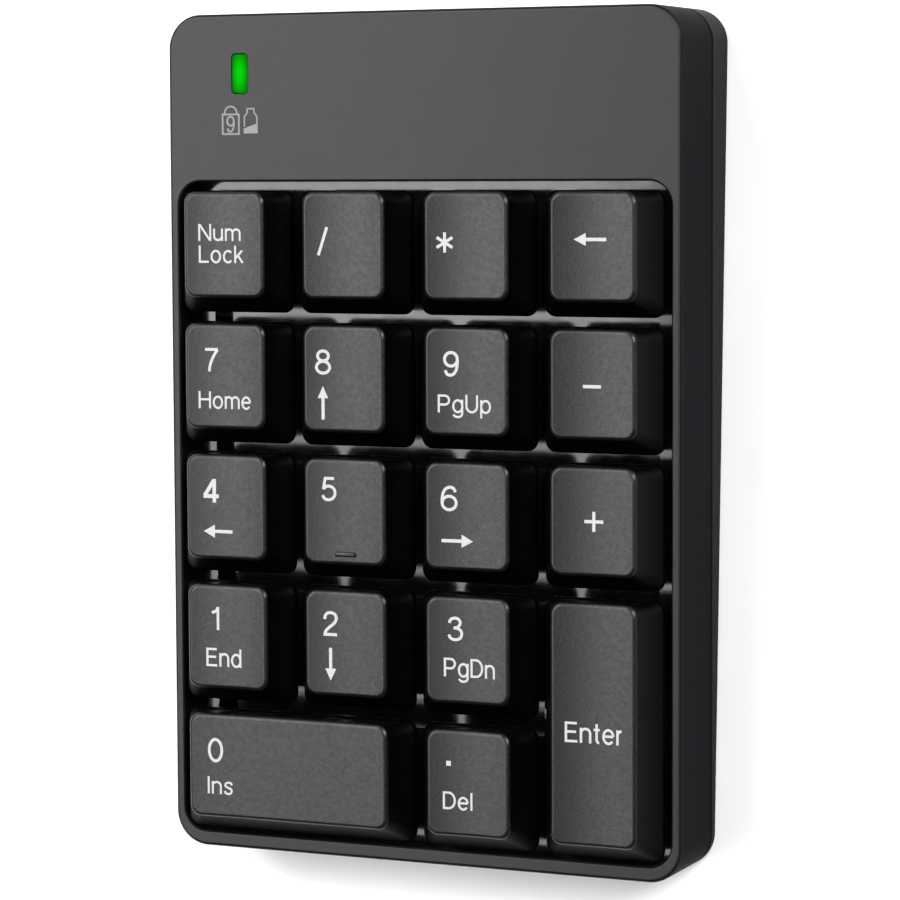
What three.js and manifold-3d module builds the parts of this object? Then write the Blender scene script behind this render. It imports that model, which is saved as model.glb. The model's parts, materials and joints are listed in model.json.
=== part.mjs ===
// Wireless numeric keypad: full-height rubber-dome keys in a shallow wedge-shaped case, two AAA cells in the header.
// Units are millimetres. The finished group is in the part's own frame: +X right, +Y towards the header, +Z up,
// the origin on the desk under the centre of the footprint.
//
// Two working frames are used below.
//   Deck frame (u, v, w): w is the direction the keys travel along, w = 0 is the top face of the case,
//     u = 0, v = 0 is the middle of the key field. The whole deck frame is tilted by WEDGE about X.
//   Floor frame (u, b, z): parallel to the desk, z = 0 on the outer face of the case's floor.
import * as THREE from "three";
import { mergeVertices } from "three/addons/utils/BufferGeometryUtils.js";
import Module from "manifold-3d";

const wasm = await Module();
wasm.setup();

// ---------------------------------------------------------------- driving dimensions
const PITCH = 19.05; // key pitch, both ways
const WEDGE = (2.44 * Math.PI) / 180; // slope of the key deck
const CASE_HX = 39.95; // half width of the case
const CASE_V0 = -50.1; // front end
const CASE_V1 = 72.5; // header end
const CASE_R = 5.0; // plan corner radius
const WELL_HX = 38.35; // half width of the key opening
const WELL_V0 = -47.8;
const WELL_V1 = 48.2;
const WELL_R = 3.4;
const SEAM_W = -12.4; // parting line between the two covers
const FLOOR_W = -16.4; // outer floor under v = 0, in the deck frame
const FLOOR_T = 1.6; // floor thickness
const FOOT_H = 1.0; // how far the feet stand proud
const HEADER_T = 2.0; // header panel thickness
const LEDGE_W = -4.5; // underside of the ledge that the deck tucks under

const KEY_BASE = 17.75; // skirt size at its lower edge
const KEY_TOP_U = 12.26; // top face width
const KEY_TOP_V = 14.62; // top face length
const KEY_TOP_SHIFT = 1.03; // top face sits towards the header over its base
const KEY_Z0 = -0.5; // skirt's lower edge
const KEY_Z1 = 5.0; // rim of the top face
const KEY_WALL = 1.2;
const KEY_ROOF = 1.5;
const DISH_R = 42.0; // cylindrical dish
const TRAVEL = 3.4;

const STEM_U = 6.2;
const STEM_V = 5.2;
const STEM_W = -6.95; // lower end of the plunger
const DECK_TOP = -4.6;
const DECK_BOT = -5.9;
const CHIMNEY_TOP = -0.9;
const CHANNEL_W = -7.5; // floor of the drain channels between the rows
const CHANNEL_HALF = 2.5;

const DOME_TOP = -7.0;
const MAT_TOP = -10.65;
const MAT_BOT = -11.25;
const PLATE_TOP = -12.0;
const PLATE_BOT = -12.6;

const CELL_R = 5.1; // AAA cell
const CELL_L = 44.5;
const BAY_U0 = -17.4;
const BAY_U1 = 32.5;
const BAY_V0 = 49.3;
const BAY_V1 = 70.2;
const BAY_ROOF = -7.0;
const CELL_W = -12.25;
const CELL_A_V = 54.6;
const CELL_B_V = 64.9;

const WIRE_R = 0.5; // stabiliser wire
const WIRE_ARM = 8.0;
const WIRE_PIVOT_OFF = 1.8; // pivot ahead of the key's centre
const WIRE_PIVOT_W = -3.4;
const WIRE_REST = Math.asin(3.55 / WIRE_ARM);

// ---------------------------------------------------------------- solids
const rad = (d) => (d * Math.PI) / 180;

// A closed three.js geometry as a manifold solid.
function solid(geometry) {
  let g = geometry.index ? geometry.toNonIndexed() : geometry.clone();
  for (const name of Object.keys(g.attributes)) if (name !== "position") g.deleteAttribute(name);
  g = mergeVertices(g, 1e-4);
  const tri = new Uint32Array(g.index.array);
  const make = () =>
    new wasm.Manifold(new wasm.Mesh({ numProp: 3, vertProperties: new Float32Array(g.attributes.position.array), triVerts: tri }));
  let s = make();
  if (s.volume() < 0) {
    for (let i = 0; i < tri.length; i += 3) [tri[i + 1], tri[i + 2]] = [tri[i + 2], tri[i + 1]];
    s = make();
  }
  return s;
}

const union = (...list) => list.reduce((a, b) => a.add(b));
const minus = (a, ...list) => list.reduce((x, y) => x.subtract(y), a);

// A manifold solid as a BufferGeometry.
function geometryOf(s) {
  const m = s.getMesh();
  const p = new Float32Array(m.numVert * 3);
  for (let i = 0; i < m.numVert; i++) for (let k = 0; k < 3; k++) p[3 * i + k] = m.vertProperties[i * m.numProp + k];
  const g = new THREE.BufferGeometry();
  g.setAttribute("position", new THREE.BufferAttribute(p, 3));
  g.setIndex(new THREE.BufferAttribute(new Uint32Array(m.triVerts), 1));
  g.computeVertexNormals();
  return g;
}

// A box from corner to corner.
function box(x0, x1, y0, y1, z0, z1) {
  const g = new THREE.BoxGeometry(x1 - x0, y1 - y0, z1 - z0);
  g.translate((x0 + x1) / 2, (y0 + y1) / 2, (z0 + z1) / 2);
  return solid(g);
}

// A rounded rectangle as a ring of points, n segments to each corner.
function ring(cx, cy, hx, hy, r, n = 4) {
  const points = [];
  [[hx - r, hy - r, 0], [r - hx, hy - r, 90], [r - hx, r - hy, 180], [hx - r, r - hy, 270]].forEach(([x, y, a]) => {
    for (let i = 0; i <= n; i++) {
      const t = rad(a + (90 * i) / n);
      points.push(new THREE.Vector2(cx + x + r * Math.cos(t), cy + y + r * Math.sin(t)));
    }
  });
  return points;
}

// A solid through several rings of the same number of points, one to each level: an extrusion whose sections are moved to the rings.
function loft(rings, levels) {
  const n = levels.length - 1;
  const g = new THREE.ExtrudeGeometry(new THREE.Shape(rings[0]), { depth: n, steps: n, bevelEnabled: false, curveSegments: 1 });
  const pos = g.attributes.position;
  for (let i = 0; i < pos.count; i++) {
    const away = rings[0].map((p) => Math.hypot(p.x - pos.getX(i), p.y - pos.getY(i)));
    const index = away.indexOf(Math.min(...away));
    const level = Math.round(pos.getZ(i));
    pos.setXYZ(i, rings[level][index].x, rings[level][index].y, levels[level]);
  }
  return solid(g);
}
const prism = (points, z0, z1) => loft([points, points], [z0, z1]);

// A cylinder along w, or along u with axis "x".
function cyl(x, y, z0, z1, r, n = 16, axis = "z", r1 = r) {
  const g = new THREE.CylinderGeometry(r1, r, z1 - z0, n);
  if (axis === "z") g.rotateX(Math.PI / 2).translate(x, y, (z0 + z1) / 2);
  else g.rotateZ(-Math.PI / 2).translate((z0 + z1) / 2, x, y);
  return solid(g);
}

// A body of revolution about w through (x, y); the profile is [radius, w] pairs that close on themselves or on the axis.
function lathe(profile, x, y, n = 12) {
  const g = new THREE.LatheGeometry(profile.map(([r, z]) => new THREE.Vector2(r, z)), n);
  g.rotateX(Math.PI / 2).translate(x, y, 0);
  return solid(g);
}

// A round bar along a curve.
function bar(curve, r, steps, sides = 8) {
  const section = new THREE.Shape(
    Array.from({ length: sides }, (_, i) => new THREE.Vector2(r * Math.cos((2 * Math.PI * i) / sides), r * Math.sin((2 * Math.PI * i) / sides))),
  );
  return solid(new THREE.ExtrudeGeometry(section, { steps, extrudePath: curve, bevelEnabled: false, curveSegments: 1 }));
}

// Floor frame to deck frame.
const floorToDeck = new THREE.Matrix4().makeTranslation(0, 0, FLOOR_W).multiply(new THREE.Matrix4().makeRotationX(-WEDGE));
const moved = (s, m) => solid(geometryOf(s).applyMatrix4(m));
const onFloor = (s) => moved(s, floorToDeck);

const caseRing = (inset, r = CASE_R - inset, n = 6) =>
  ring(0, (CASE_V0 + CASE_V1) / 2, CASE_HX - inset, (CASE_V1 - CASE_V0) / 2 - inset, r, n);

// ---------------------------------------------------------------- fixings
const DECK_SCREWS = [[-PITCH, 1.5 * PITCH], [PITCH, 1.5 * PITCH], [-PITCH, -1.5 * PITCH], [PITCH, -1.5 * PITCH]];
const HEADER_SCREWS = [[-35.3, 68.3], [36.1, 60.5]];
const CLAMP_SCREWS = [[-35.2, 52.4], [-21.8, 52.4]];
const SCREW_SEAT = -13.7;

// ---------------------------------------------------------------- keys
const KEYS = [
  ["key_num_lock", 0, 0, 1, 1], ["key_divide", 1, 0, 1, 1], ["key_multiply", 2, 0, 1, 1], ["key_backspace", 3, 0, 1, 1],
  ["key_7", 0, 1, 1, 1], ["key_8", 1, 1, 1, 1], ["key_9", 2, 1, 1, 1], ["key_minus", 3, 1, 1, 1],
  ["key_4", 0, 2, 1, 1], ["key_5", 1, 2, 1, 1], ["key_6", 2, 2, 1, 1], ["key_plus", 3, 2, 1, 1],
  ["key_1", 0, 3, 1, 1], ["key_2", 1, 3, 1, 1], ["key_3", 2, 3, 1, 1], ["key_enter", 3, 3, 1, 2],
  ["key_0", 0, 4, 2, 1], ["key_decimal", 2, 4, 1, 1],
].map(([name, col, row, wide, tall]) => ({
  name, wide, tall,
  u: (col - 1.5 + (wide - 1) / 2) * PITCH,
  v: (2 - row - (tall - 1) / 2) * PITCH,
}));

// The clip that snaps over the stabiliser wire, in key coordinates with the wire along x.
function wireClip(x) {
  const body = box(x - 0.8, x + 0.8, -7.45, -4.05, -1.0, KEY_Z1 - KEY_ROOF + 0.1);
  const slot = box(x - 1, x + 1, -6.85, -4.72, -0.5, 0.8);
  const mouth = box(x - 1, x + 1, -6.15, -5.4, -1.1, -0.4);
  return minus(body, slot, mouth);
}

function keycap({ name, wide, tall }) {
  const eu = ((wide - 1) * PITCH) / 2;
  const ev = ((tall - 1) * PITCH) / 2;
  const b = KEY_BASE / 2;
  const n = 3;
  const clipped = (s) => s.intersect(union(outer, box(-b + 0.9 - eu, b - 0.9 + eu, -b + 0.9 - ev, b - 0.9 + ev, -2, KEY_Z0 + 0.05)));
  const outer = loft(
    [ring(0, 0, b + eu, b + ev, 1.8, n), ring(0, KEY_TOP_SHIFT, KEY_TOP_U / 2 + 0.1 + eu, KEY_TOP_V / 2 + 0.1 + ev, 1.75, n),
     ring(0, KEY_TOP_SHIFT, KEY_TOP_U / 2 - 0.15 + eu, KEY_TOP_V / 2 - 0.15 + ev, 1.5, n)],
    [KEY_Z0, KEY_Z1 - 0.2, KEY_Z1],
  );
  const inner = loft(
    [ring(0, 0, b - KEY_WALL + eu, b - KEY_WALL + ev, 0.9, 1),
     ring(0, KEY_TOP_SHIFT, KEY_TOP_U / 2 - 1.0 + eu, KEY_TOP_V / 2 - 1.0 + ev, 0.7, 1)],
    [KEY_Z0 - 0.01, KEY_Z1 - KEY_ROOF],
  );
  // The dish runs front to back; on the double-width key it is only as wide as a single one is deep.
  const dishR = wide > 1 ? 300 : DISH_R;
  const depth = wide > 1 ? 0.4 : 0.45;
  const dish = new THREE.CylinderGeometry(dishR, dishR, 80, wide > 1 ? 360 : 96);
  dish.translate(0, 0, 0);
  dish.applyMatrix4(new THREE.Matrix4().makeRotationY(0.5 * (Math.PI / (wide > 1 ? 180 : 48))));
  dish.translate(0, 0, KEY_Z1 - depth + dishR);
  let cap = minus(outer, inner, solid(dish));
  const stem = minus(
    union(
      box(-STEM_U / 2, STEM_U / 2, -STEM_V / 2, STEM_V / 2, STEM_W, KEY_Z1 - KEY_ROOF + 0.2),
      box(-STEM_U / 2 - 0.35, STEM_U / 2 + 0.35, -1.2, 1.2, STEM_W + 0.1, DECK_BOT - 0.1),
    ),
    box(-1.9, 1.9, -1.4, 1.4, STEM_W - 1, 3.0),
  );
  cap = union(cap, stem);
  // Moulding-gate notch in the middle of the rear skirt.
  cap = minus(cap, (() => {
    const g = new THREE.CylinderGeometry(0.9, 0.9, 2.4, 8);
    g.translate(0, b + ev - 0.2, KEY_Z0);
    return solid(g);
  })());
  if (name === "key_5") cap = union(cap, box(-1.75, 1.75, -5.4, -4.75, 4.2, 4.9)); // homing bar
  if (wide > 1) cap = union(cap, clipped(wireClip(-9)), clipped(wireClip(9)));
  if (tall > 1) {
    const turn = new THREE.Matrix4().makeRotationZ(Math.PI / 2);
    cap = union(cap, clipped(moved(wireClip(-9), turn)), clipped(moved(wireClip(9), turn)));
  }
  return cap;
}

// Stabiliser wire, centred on its key, with its long run along x.
function stabiliser() {
  const py = WIRE_PIVOT_OFF;
  const ly = py - WIRE_ARM * Math.cos(WIRE_REST);
  const lz = WIRE_PIVOT_W + WIRE_ARM * Math.sin(WIRE_REST);
  const path = new THREE.CurvePath();
  const V = (x, y, z) => new THREE.Vector3(x, y, z);
  const r = 1.1; // bend radius
  const corners = [V(-9.6, py, WIRE_PIVOT_W), V(-12, py, WIRE_PIVOT_W), V(-12, ly, lz), V(12, ly, lz), V(12, py, WIRE_PIVOT_W), V(9.6, py, WIRE_PIVOT_W)];
  const pts = [];
  corners.forEach((c, i) => {
    if (i === 0 || i === corners.length - 1) { pts.push(c); return; }
    const a = corners[i - 1].clone().sub(c).setLength(r).add(c);
    const b = corners[i + 1].clone().sub(c).setLength(r).add(c);
    const m = a.clone().add(b).multiplyScalar(0.5).lerp(c, 0.42);
    pts.push(a, m, b);
  });
  for (let i = 0; i + 1 < pts.length; i++) path.add(new THREE.LineCurve3(pts[i], pts[i + 1]));
  // One section at each bend point: the curve is read back at its own corners.
  const lengths = path.getCurveLengths();
  const total = lengths[lengths.length - 1];
  const stops = [0, ...lengths.map((l) => l / total)];
  const exact = new THREE.Curve();
  const steps = stops.length - 1;
  exact.getPoint = (t) => pts[Math.round(t * steps)].clone();
  exact.getPointAt = (t) => pts[Math.round(t * steps)].clone();
  exact.getSpacedPoints = (k) => Array.from({ length: k + 1 }, (_, i) => pts[i].clone());
  exact.getTangentAt = (t) => {
    const i = Math.round(t * steps);
    const a = pts[Math.max(0, i - 1)], b = pts[Math.min(steps, i + 1)];
    const p = pts[i].clone().sub(a), q = b.clone().sub(pts[i]);
    if (p.length() > 0) p.normalize();
    if (q.length() > 0) q.normalize();
    return p.add(q).normalize();
  };
  exact.getTangent = exact.getTangentAt;
  return bar(exact, WIRE_R, steps, 8);
}

const shifted = (s, x, y, z = 0) => moved(s, new THREE.Matrix4().makeTranslation(x, y, z));
const KEY_0 = KEYS.find((k) => k.name === "key_0");
const KEY_ENTER = KEYS.find((k) => k.name === "key_enter");
const wireZero = shifted(stabiliser(), KEY_0.u, KEY_0.v);
const wireEnter = moved(
  stabiliser(),
  new THREE.Matrix4().makeTranslation(KEY_ENTER.u, KEY_ENTER.v, 0).multiply(new THREE.Matrix4().makeRotationZ(Math.PI / 2)),
);

// ---------------------------------------------------------------- top cover
function topCover() {
  const shell = loft([caseRing(0), caseRing(0), caseRing(0.22), caseRing(0.75)], [SEAM_W, -0.75, -0.22, 0]);
  const midV = (-49.0 + 71.3) / 2;
  const inside = prism(ring(0, midV, 38.75, (71.3 + 49.0) / 2, 3.8, 4), SEAM_W - 1, LEDGE_W);
  const header = prism(ring(0, (49.4 + 71.3) / 2, 38.4, (71.3 - 49.4) / 2, 2.0, 2), SEAM_W - 1, -HEADER_T);
  const wc = (WELL_V0 + WELL_V1) / 2, wh = (WELL_V1 - WELL_V0) / 2;
  const well = loft(
    [ring(0, wc, WELL_HX, wh, WELL_R, 5), ring(0, wc, WELL_HX, wh, WELL_R, 5), ring(0, wc, WELL_HX + 0.45, wh + 0.45, WELL_R + 0.45, 5)],
    [SEAM_W - 1, -0.4, 0.05],
  );
  const lensHole = prism(ring(-28.2, 63.86, 1.32, 2.9, 0.6, 2), -3, 1);
  let cover = minus(shell, inside, header, well, lensHole);
  // Bosses under the header panel.
  for (const [x, y] of HEADER_SCREWS) {
    cover = union(cover, cyl(x, y, SEAM_W + 0.1, -HEADER_T + 0.1, 2.25, 14));
    cover = minus(cover, cyl(x, y, SEAM_W - 1, -7.5, 1.1, 10));
  }
  for (const [x, y] of CLAMP_SCREWS) {
    cover = union(cover, cyl(x, y, -9.95, -HEADER_T + 0.1, 1.9, 12));
    cover = minus(cover, cyl(x, y, -12, -6.5, 0.85, 8));
  }
  // Ribs that hold the lens flange and stiffen the panel.
  cover = union(cover, box(-17.0, -16.0, 49.2, 71.4, -4.4, -HEADER_T + 0.1), box(10.0, 11.0, 49.2, 71.4, -4.4, -HEADER_T + 0.1));
  // Grooves for the bottom cover's snaps.
  for (const v of [-36, 30]) for (const s of [-1, 1]) cover = minus(cover, box(Math.min(s * 38.6, s * 39.15), Math.max(s * 38.6, s * 39.15), v - 4.4, v + 4.4, -12.15, -11.25));
  cover = minus(cover, box(-8.4, 8.4, -49.4, -48.9, -12.15, -11.25));
  return cover;
}

// ---------------------------------------------------------------- key deck
function keyDeck() {
  const c = (-48.85 + 49.15) / 2, h = (49.15 + 48.85) / 2;
  let deck = prism(ring(0, c, 38.55, h, 3.6, 3), DECK_BOT, DECK_TOP);
  // Rim that presses on the edge of the dome mat.
  deck = union(deck, minus(box(-37.0, 37.0, -47.5, 47.5, MAT_TOP + 0.05, DECK_BOT + 0.1), box(-36.0, 36.0, -46.5, 46.5, MAT_TOP - 1, DECK_BOT + 1)));
  const adds = [], cuts = [];
  for (const k of KEYS) {
    adds.push(box(k.u - 4.5, k.u + 4.5, k.v - 4.0, k.v + 4.0, DECK_TOP - 0.2, CHIMNEY_TOP));
    cuts.push(box(k.u - 3.3, k.u + 3.3, k.v - 2.8, k.v + 2.8, DECK_BOT - 1, CHIMNEY_TOP + 1));
  }
  for (const [x, y] of DECK_SCREWS) {
    adds.push(cyl(x, y, PLATE_TOP + 0.05, DECK_BOT + 0.1, 2.5, 12));
    cuts.push(cyl(x, y, PLATE_TOP - 1, -8.0, 1.1, 8));
  }
  // A sunk channel between each two rows carries spilt liquid past the chimneys; the last one ends at the double-height key.
  for (const [v, u1] of [[1.5, 35], [0.5, 35], [-0.5, 35], [-1.5, 17.5]].map(([r, u]) => [r * PITCH, u])) {
    adds.push(box(-36.2, u1 + 1.2, v - CHANNEL_HALF - 1, v + CHANNEL_HALF + 1, CHANNEL_W - 1.3, DECK_BOT + 0.2));
    cuts.push(box(-35, u1, v - CHANNEL_HALF, v + CHANNEL_HALF, CHANNEL_W, 0));
  }
  // Brackets that the stabiliser wires pivot in.
  for (const s of [-1, 1]) {
    const p = KEY_0.v + WIRE_PIVOT_OFF;
    adds.push(box(KEY_0.u + s * 10.4 - 0.5, KEY_0.u + s * 10.4 + 0.5, p - 1.3, p + 1.3, DECK_TOP - 0.2, WIRE_PIVOT_W + 1.25));
    cuts.push(cyl(p, WIRE_PIVOT_W, KEY_0.u + s * 10.4 - 1, KEY_0.u + s * 10.4 + 1, 0.7, 10, "x"));
    const q = KEY_ENTER.u - WIRE_PIVOT_OFF;
    adds.push(box(q - 1.3, q + 1.3, KEY_ENTER.v + s * 10.4 - 0.5, KEY_ENTER.v + s * 10.4 + 0.5, DECK_TOP - 0.2, WIRE_PIVOT_W + 1.25));
    const hole = new THREE.CylinderGeometry(0.7, 0.7, 2, 10);
    hole.translate(q, KEY_ENTER.v + s * 10.4, WIRE_PIVOT_W);
    cuts.push(solid(hole));
  }
  deck = union(deck, ...adds);
  return minus(deck, ...cuts);
}

// ---------------------------------------------------------------- dome mat and membrane
function domeMat() {
  const mat = prism(ring(0, 0, 37.1, 47.6, 1.5, 2), MAT_BOT, MAT_TOP);
  const screws = DECK_SCREWS.map(([x, y]) => cyl(x, y, MAT_BOT - 1, MAT_TOP + 1, 2.9, 8));
  const domes = KEYS.map((k) => lathe([[0, MAT_BOT + 0.2], [4.9, MAT_BOT + 0.2], [4.9, MAT_TOP + 0.15], [3.0, -8.1], [2.7, DOME_TOP], [0, DOME_TOP]], k.u, k.v, 8));
  const hollows = KEYS.map((k) => lathe([[0, MAT_BOT - 1], [4.4, MAT_BOT - 1], [4.4, MAT_TOP], [2.4, -8.5], [1.3, -8.2], [1.3, -9.9], [0, -9.9]], k.u, k.v, 8));
  return minus(union(mat, ...domes), ...hollows, ...screws);
}

function sheet(z0, z1, tail, holesAtKeys) {
  let s = prism(ring(0, 0, 37.0, 47.4, 1.2, 2), z0, z1);
  if (tail) s = union(s, box(-33.3, -23.7, 47.0, 56.0, z0, z1));
  s = minus(s, ...DECK_SCREWS.map(([x, y]) => cyl(x, y, z0 - 1, z1 + 1, 2.9, 8)));
  if (holesAtKeys) s = minus(s, ...KEYS.map((k) => cyl(k.u, k.v, z0 - 1, z1 + 1, 2.5, 8)));
  return s;
}

const backingPlate = () =>
  minus(prism(ring(0, 0, 37.2, 47.8, 1.5, 2), PLATE_BOT, PLATE_TOP), ...DECK_SCREWS.map(([x, y]) => cyl(x, y, -14, -10, 1.3, 10)));

// ---------------------------------------------------------------- bottom cover
const DOOR = { u0: -16.75, u1: 31.85, b0: 49.75, b1: 69.75 };
const HOOKS_U = [-5, 20];
const FEET = [[-30, -43.5], [30, -43.5], [-30, 42.5], [30, 42.5]];

function bottomCover() {
  const fb = (72.56 - 50.25) / 2, fh = (72.56 + 50.25) / 2;
  const fring = (o) => ring(0, fb, CASE_HX + o, fh + o, CASE_R + o, 6);
  const below = onFloor(loft([fring(-1.1), fring(-0.4), fring(0), fring(1), fring(1)], [0, 0.3, 1.1, 1.15, 14]));
  let cover = prism(caseRing(0), -24, SEAM_W).intersect(below);
  const ic = (-48.7 + 71.0) / 2, ih = (71.0 + 48.7) / 2;
  const cavity = prism(ring(0, ic, 38.45, ih, 3.5, 4), -24, SEAM_W + 0.5).intersect(onFloor(box(-60, 60, -80, 100, FLOOR_T, 20)));
  cover = minus(cover, cavity);
  // Tongue inside the top cover, with snap beads.
  const lc = (-48.85 + 71.15) / 2, lh = (71.15 + 48.85) / 2;
  cover = union(cover, minus(prism(ring(0, lc, 38.6, lh, 3.65, 4), -13.4, -11.4), prism(ring(0, lc, 37.85, lh - 0.75, 2.9, 4), -14, -11)));
  for (const v of [-36, 30]) for (const s of [-1, 1]) cover = union(cover, box(Math.min(s * 38.3, s * 38.95), Math.max(s * 38.3, s * 38.95), v - 4, v + 4, -12.0, -11.5));
  cover = union(cover, box(-8, 8, -49.2, -48.5, -12.0, -11.5));
  for (const [x, y] of HEADER_SCREWS) cover = minus(cover, cyl(x, y, SEAM_W, -11, 2.6, 14));
  // Battery bay: open downwards, roofed above.
  const bay = box(BAY_U0 - 1, BAY_U1 + 1, 48.4, 71.15, -17.5, BAY_ROOF + 0.85);
  cover = union(cover, bay);
  cover = minus(cover, box(BAY_U0, BAY_U1, BAY_V0, BAY_V1, -17.6, BAY_ROOF));
  cover = minus(cover, onFloor(box(-17.0, 32.1, 49.5, 70.0, -1, 4)));
  for (const u of HOOKS_U) cover = minus(cover, onFloor(box(u - 2.9, u + 2.9, 48.2, 50, FLOOR_T, 3.5)));
  cover = minus(cover, onFloor(box(3.2, 11.8, 69.5, 71.0, -1, FLOOR_T + 0.1)));
  // Slots for the contacts' solder tabs.
  for (const v of [CELL_A_V, CELL_B_V]) cover = minus(cover, box(BAY_U0, BAY_U0 + 0.75, v - 1.4, v + 1.4, BAY_ROOF - 0.5, BAY_ROOF + 2));
  // Screw columns.
  for (const [x, y] of DECK_SCREWS) cover = union(cover, cyl(x, y, -17.5, PLATE_BOT - 0.1, 3.1, 14).intersect(onFloor(box(-60, 60, -80, 100, 0.5, 20))));
  for (const [x, y] of HEADER_SCREWS) cover = union(cover, cyl(x, y, -19.5, SEAM_W - 0.05, 3.0, 14).intersect(onFloor(box(-60, 60, -80, 100, 0.5, 20))));
  for (const [x, y] of [...DECK_SCREWS, ...HEADER_SCREWS]) {
    cover = minus(cover, cyl(x, y, -22, SCREW_SEAT, 2.05, 14), cyl(x, y, -22, -8, 1.15, 10));
  }
  // Power slider window, in a shallow recess.
  cover = minus(cover, onFloor(box(-31.9, -26.1, 60.0, 64.0, -1, 3)), onFloor(box(-33.5, -24.5, 58.8, 65.2, -1, 0.5)));
  // Seats for the feet.
  for (const [x, y] of FEET) cover = minus(cover, onFloor(prism(ring(x, y, 7.2, 2.7, 2.5, 3), -1, 0.4)));
  return cover;
}

const foot = ([x, y]) => onFloor(loft([ring(x, y, 6.6, 2.1, 1.9, 3), ring(x, y, 7.0, 2.5, 2.3, 3), ring(x, y, 7.0, 2.5, 2.3, 3)], [-FOOT_H, -FOOT_H + 0.4, 0.3]));

function batteryDoor() {
  let door = prism(ring((DOOR.u0 + DOOR.u1) / 2, (DOOR.b0 + DOOR.b1) / 2, (DOOR.u1 - DOOR.u0) / 2, (DOOR.b1 - DOOR.b0) / 2, 0.8, 2), 0.05, 1.25);
  for (const u of HOOKS_U) door = union(door, box(u - 2.5, u + 2.5, DOOR.b0, DOOR.b0 + 0.9, 1.1, 2.5), box(u - 2.5, u + 2.5, 48.9, DOOR.b0 + 0.9, 1.75, 2.5));
  door = union(door, box(3.7, 11.3, DOOR.b1 - 0.5, 70.6, 0.05, 1.25));
  // Finger ridges.
  for (const b of [66.2, 67.4, 68.6]) door = minus(door, box(2.5, 12.5, b - 0.25, b + 0.25, -0.2, 0.35));
  return onFloor(door);
}

// ---------------------------------------------------------------- cells and contacts
function cell(v, positive) {
  // Profile along the cell's axis, from the flat negative end to the positive nub.
  const L = CELL_L;
  const profile = [[0, 0], [4.0, 0], [CELL_R - 0.3, 0.25], [CELL_R, 0.7], [CELL_R, L - 1.9], [CELL_R - 0.5, L - 1.3], [1.95, L - 1.2], [1.75, L], [0, L]];
  const g = new THREE.LatheGeometry(profile.map(([r, z]) => new THREE.Vector2(r, z)), 16);
  g.rotateZ(-Math.PI / 2);
  if (positive < 0) g.rotateY(Math.PI);
  const start = positive < 0 ? -16.75 + L : 31.85 - L;
  g.translate(start, v, CELL_W);
  return solid(g);
}

// A conical coil from x0 to x1 about the cell's axis.
function coil(x0, x1, v, r0, r1) {
  const turns = 3;
  const curve = new THREE.Curve();
  curve.getPoint = (t) => {
    const a = 2 * Math.PI * turns * t;
    const r = r0 + (r1 - r0) * t;
    return new THREE.Vector3(x0 + (x1 - x0) * t, v + r * Math.cos(a), CELL_W + r * Math.sin(a));
  };
  return bar(curve, 0.38, 33, 5);
}

const contactNegative = () =>
  union(
    box(-17.3, -16.9, CELL_B_V - 3.6, CELL_B_V + 3.6, -16.2, -8.2),
    box(-17.3, -16.9, CELL_B_V - 1.1, CELL_B_V + 1.1, -8.4, -5.3),
    coil(-17.05, -13.2, CELL_B_V, 3.1, 1.7),
  );
const contactPositive = () =>
  union(
    box(-17.3, -16.9, CELL_A_V - 3.6, CELL_A_V + 3.6, -16.2, -8.2),
    box(-17.3, -16.9, CELL_A_V - 1.1, CELL_A_V + 1.1, -8.4, -5.3),
  );
const contactBridge = () =>
  union(
    box(32.0, 32.4, CELL_A_V - 4.2, CELL_B_V + 4.2, -16.0, -8.4),
    coil(32.15, 28.3, CELL_A_V, 3.1, 1.7),
  );

const lead = (points) => bar(new THREE.CatmullRomCurve3(points.map((p) => new THREE.Vector3(...p))), 0.55, 14, 8);

// ---------------------------------------------------------------- electronics
const circuitBoard = () =>
  minus(
    box(-37.6, -20.1, 50.2, 70.1, -11.65, -10.05),
    box(-40, -32.6, 65.6, 80, -13, -9),
    ...CLAMP_SCREWS.map(([x, y]) => cyl(x, y, -13, -9, 0.95, 10)),
  );
const clampBar = () => minus(box(-36.9, -20.6, 50.4, 54.4, -13.6, -12.0), ...CLAMP_SCREWS.map(([x, y]) => cyl(x, y, -15, -11, 0.95, 10)));

function screw(x, y, headR, headH, shaftR, seat, tip, n = 12) {
  const slot = 0.28;
  return minus(
    lathe([[0, seat - headH], [headR - 0.35, seat - headH], [headR, seat - headH + 0.35], [headR, seat], [shaftR, seat], [shaftR, tip - 0.5], [0.35, tip], [0, tip]], x, y, n),
    box(x - headR * 0.55, x + headR * 0.55, y - slot, y + slot, seat - headH - 1, seat - headH * 0.45),
    box(x - slot, x + slot, y - headR * 0.55, y + headR * 0.55, seat - headH - 1, seat - headH * 0.45),
  );
}

function lens() {
  const x = -28.2, y = 63.86;
  return union(
    loft([ring(x, y, 1.2, 2.77, 0.5, 2), ring(x, y, 1.2, 2.77, 0.5, 2), ring(x, y, 1.05, 2.62, 0.4, 2)], [-7.3, -0.1, 0.0]),
    prism(ring(x, y, 2.2, 3.8, 0.6, 2), -3.0, -HEADER_T - 0.15),
  );
}

function slideCap() {
  const c = -30, b = 62;
  return onFloor(
    minus(
      union(box(c - 3.6, c + 3.6, b - 2.7, b + 2.7, 1.7, 2.5), box(c - 1.6, c + 1.6, b - 1.7, b + 1.7, 0.35, 1.8), box(c - 1.6, c + 1.6, b - 1.6, b + 1.6, 2.4, 3.55)),
      box(c - 0.95, c + 0.95, b - 0.95, b + 0.95, 1.7, 5),
      box(c - 0.9, c - 0.5, b - 1.8, b + 1.8, 0.2, 0.65),
      box(c - 0.2, c + 0.2, b - 1.8, b + 1.8, 0.2, 0.65),
      box(c + 0.5, c + 0.9, b - 1.8, b + 1.8, 0.2, 0.65),
    ),
  );
}

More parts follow.
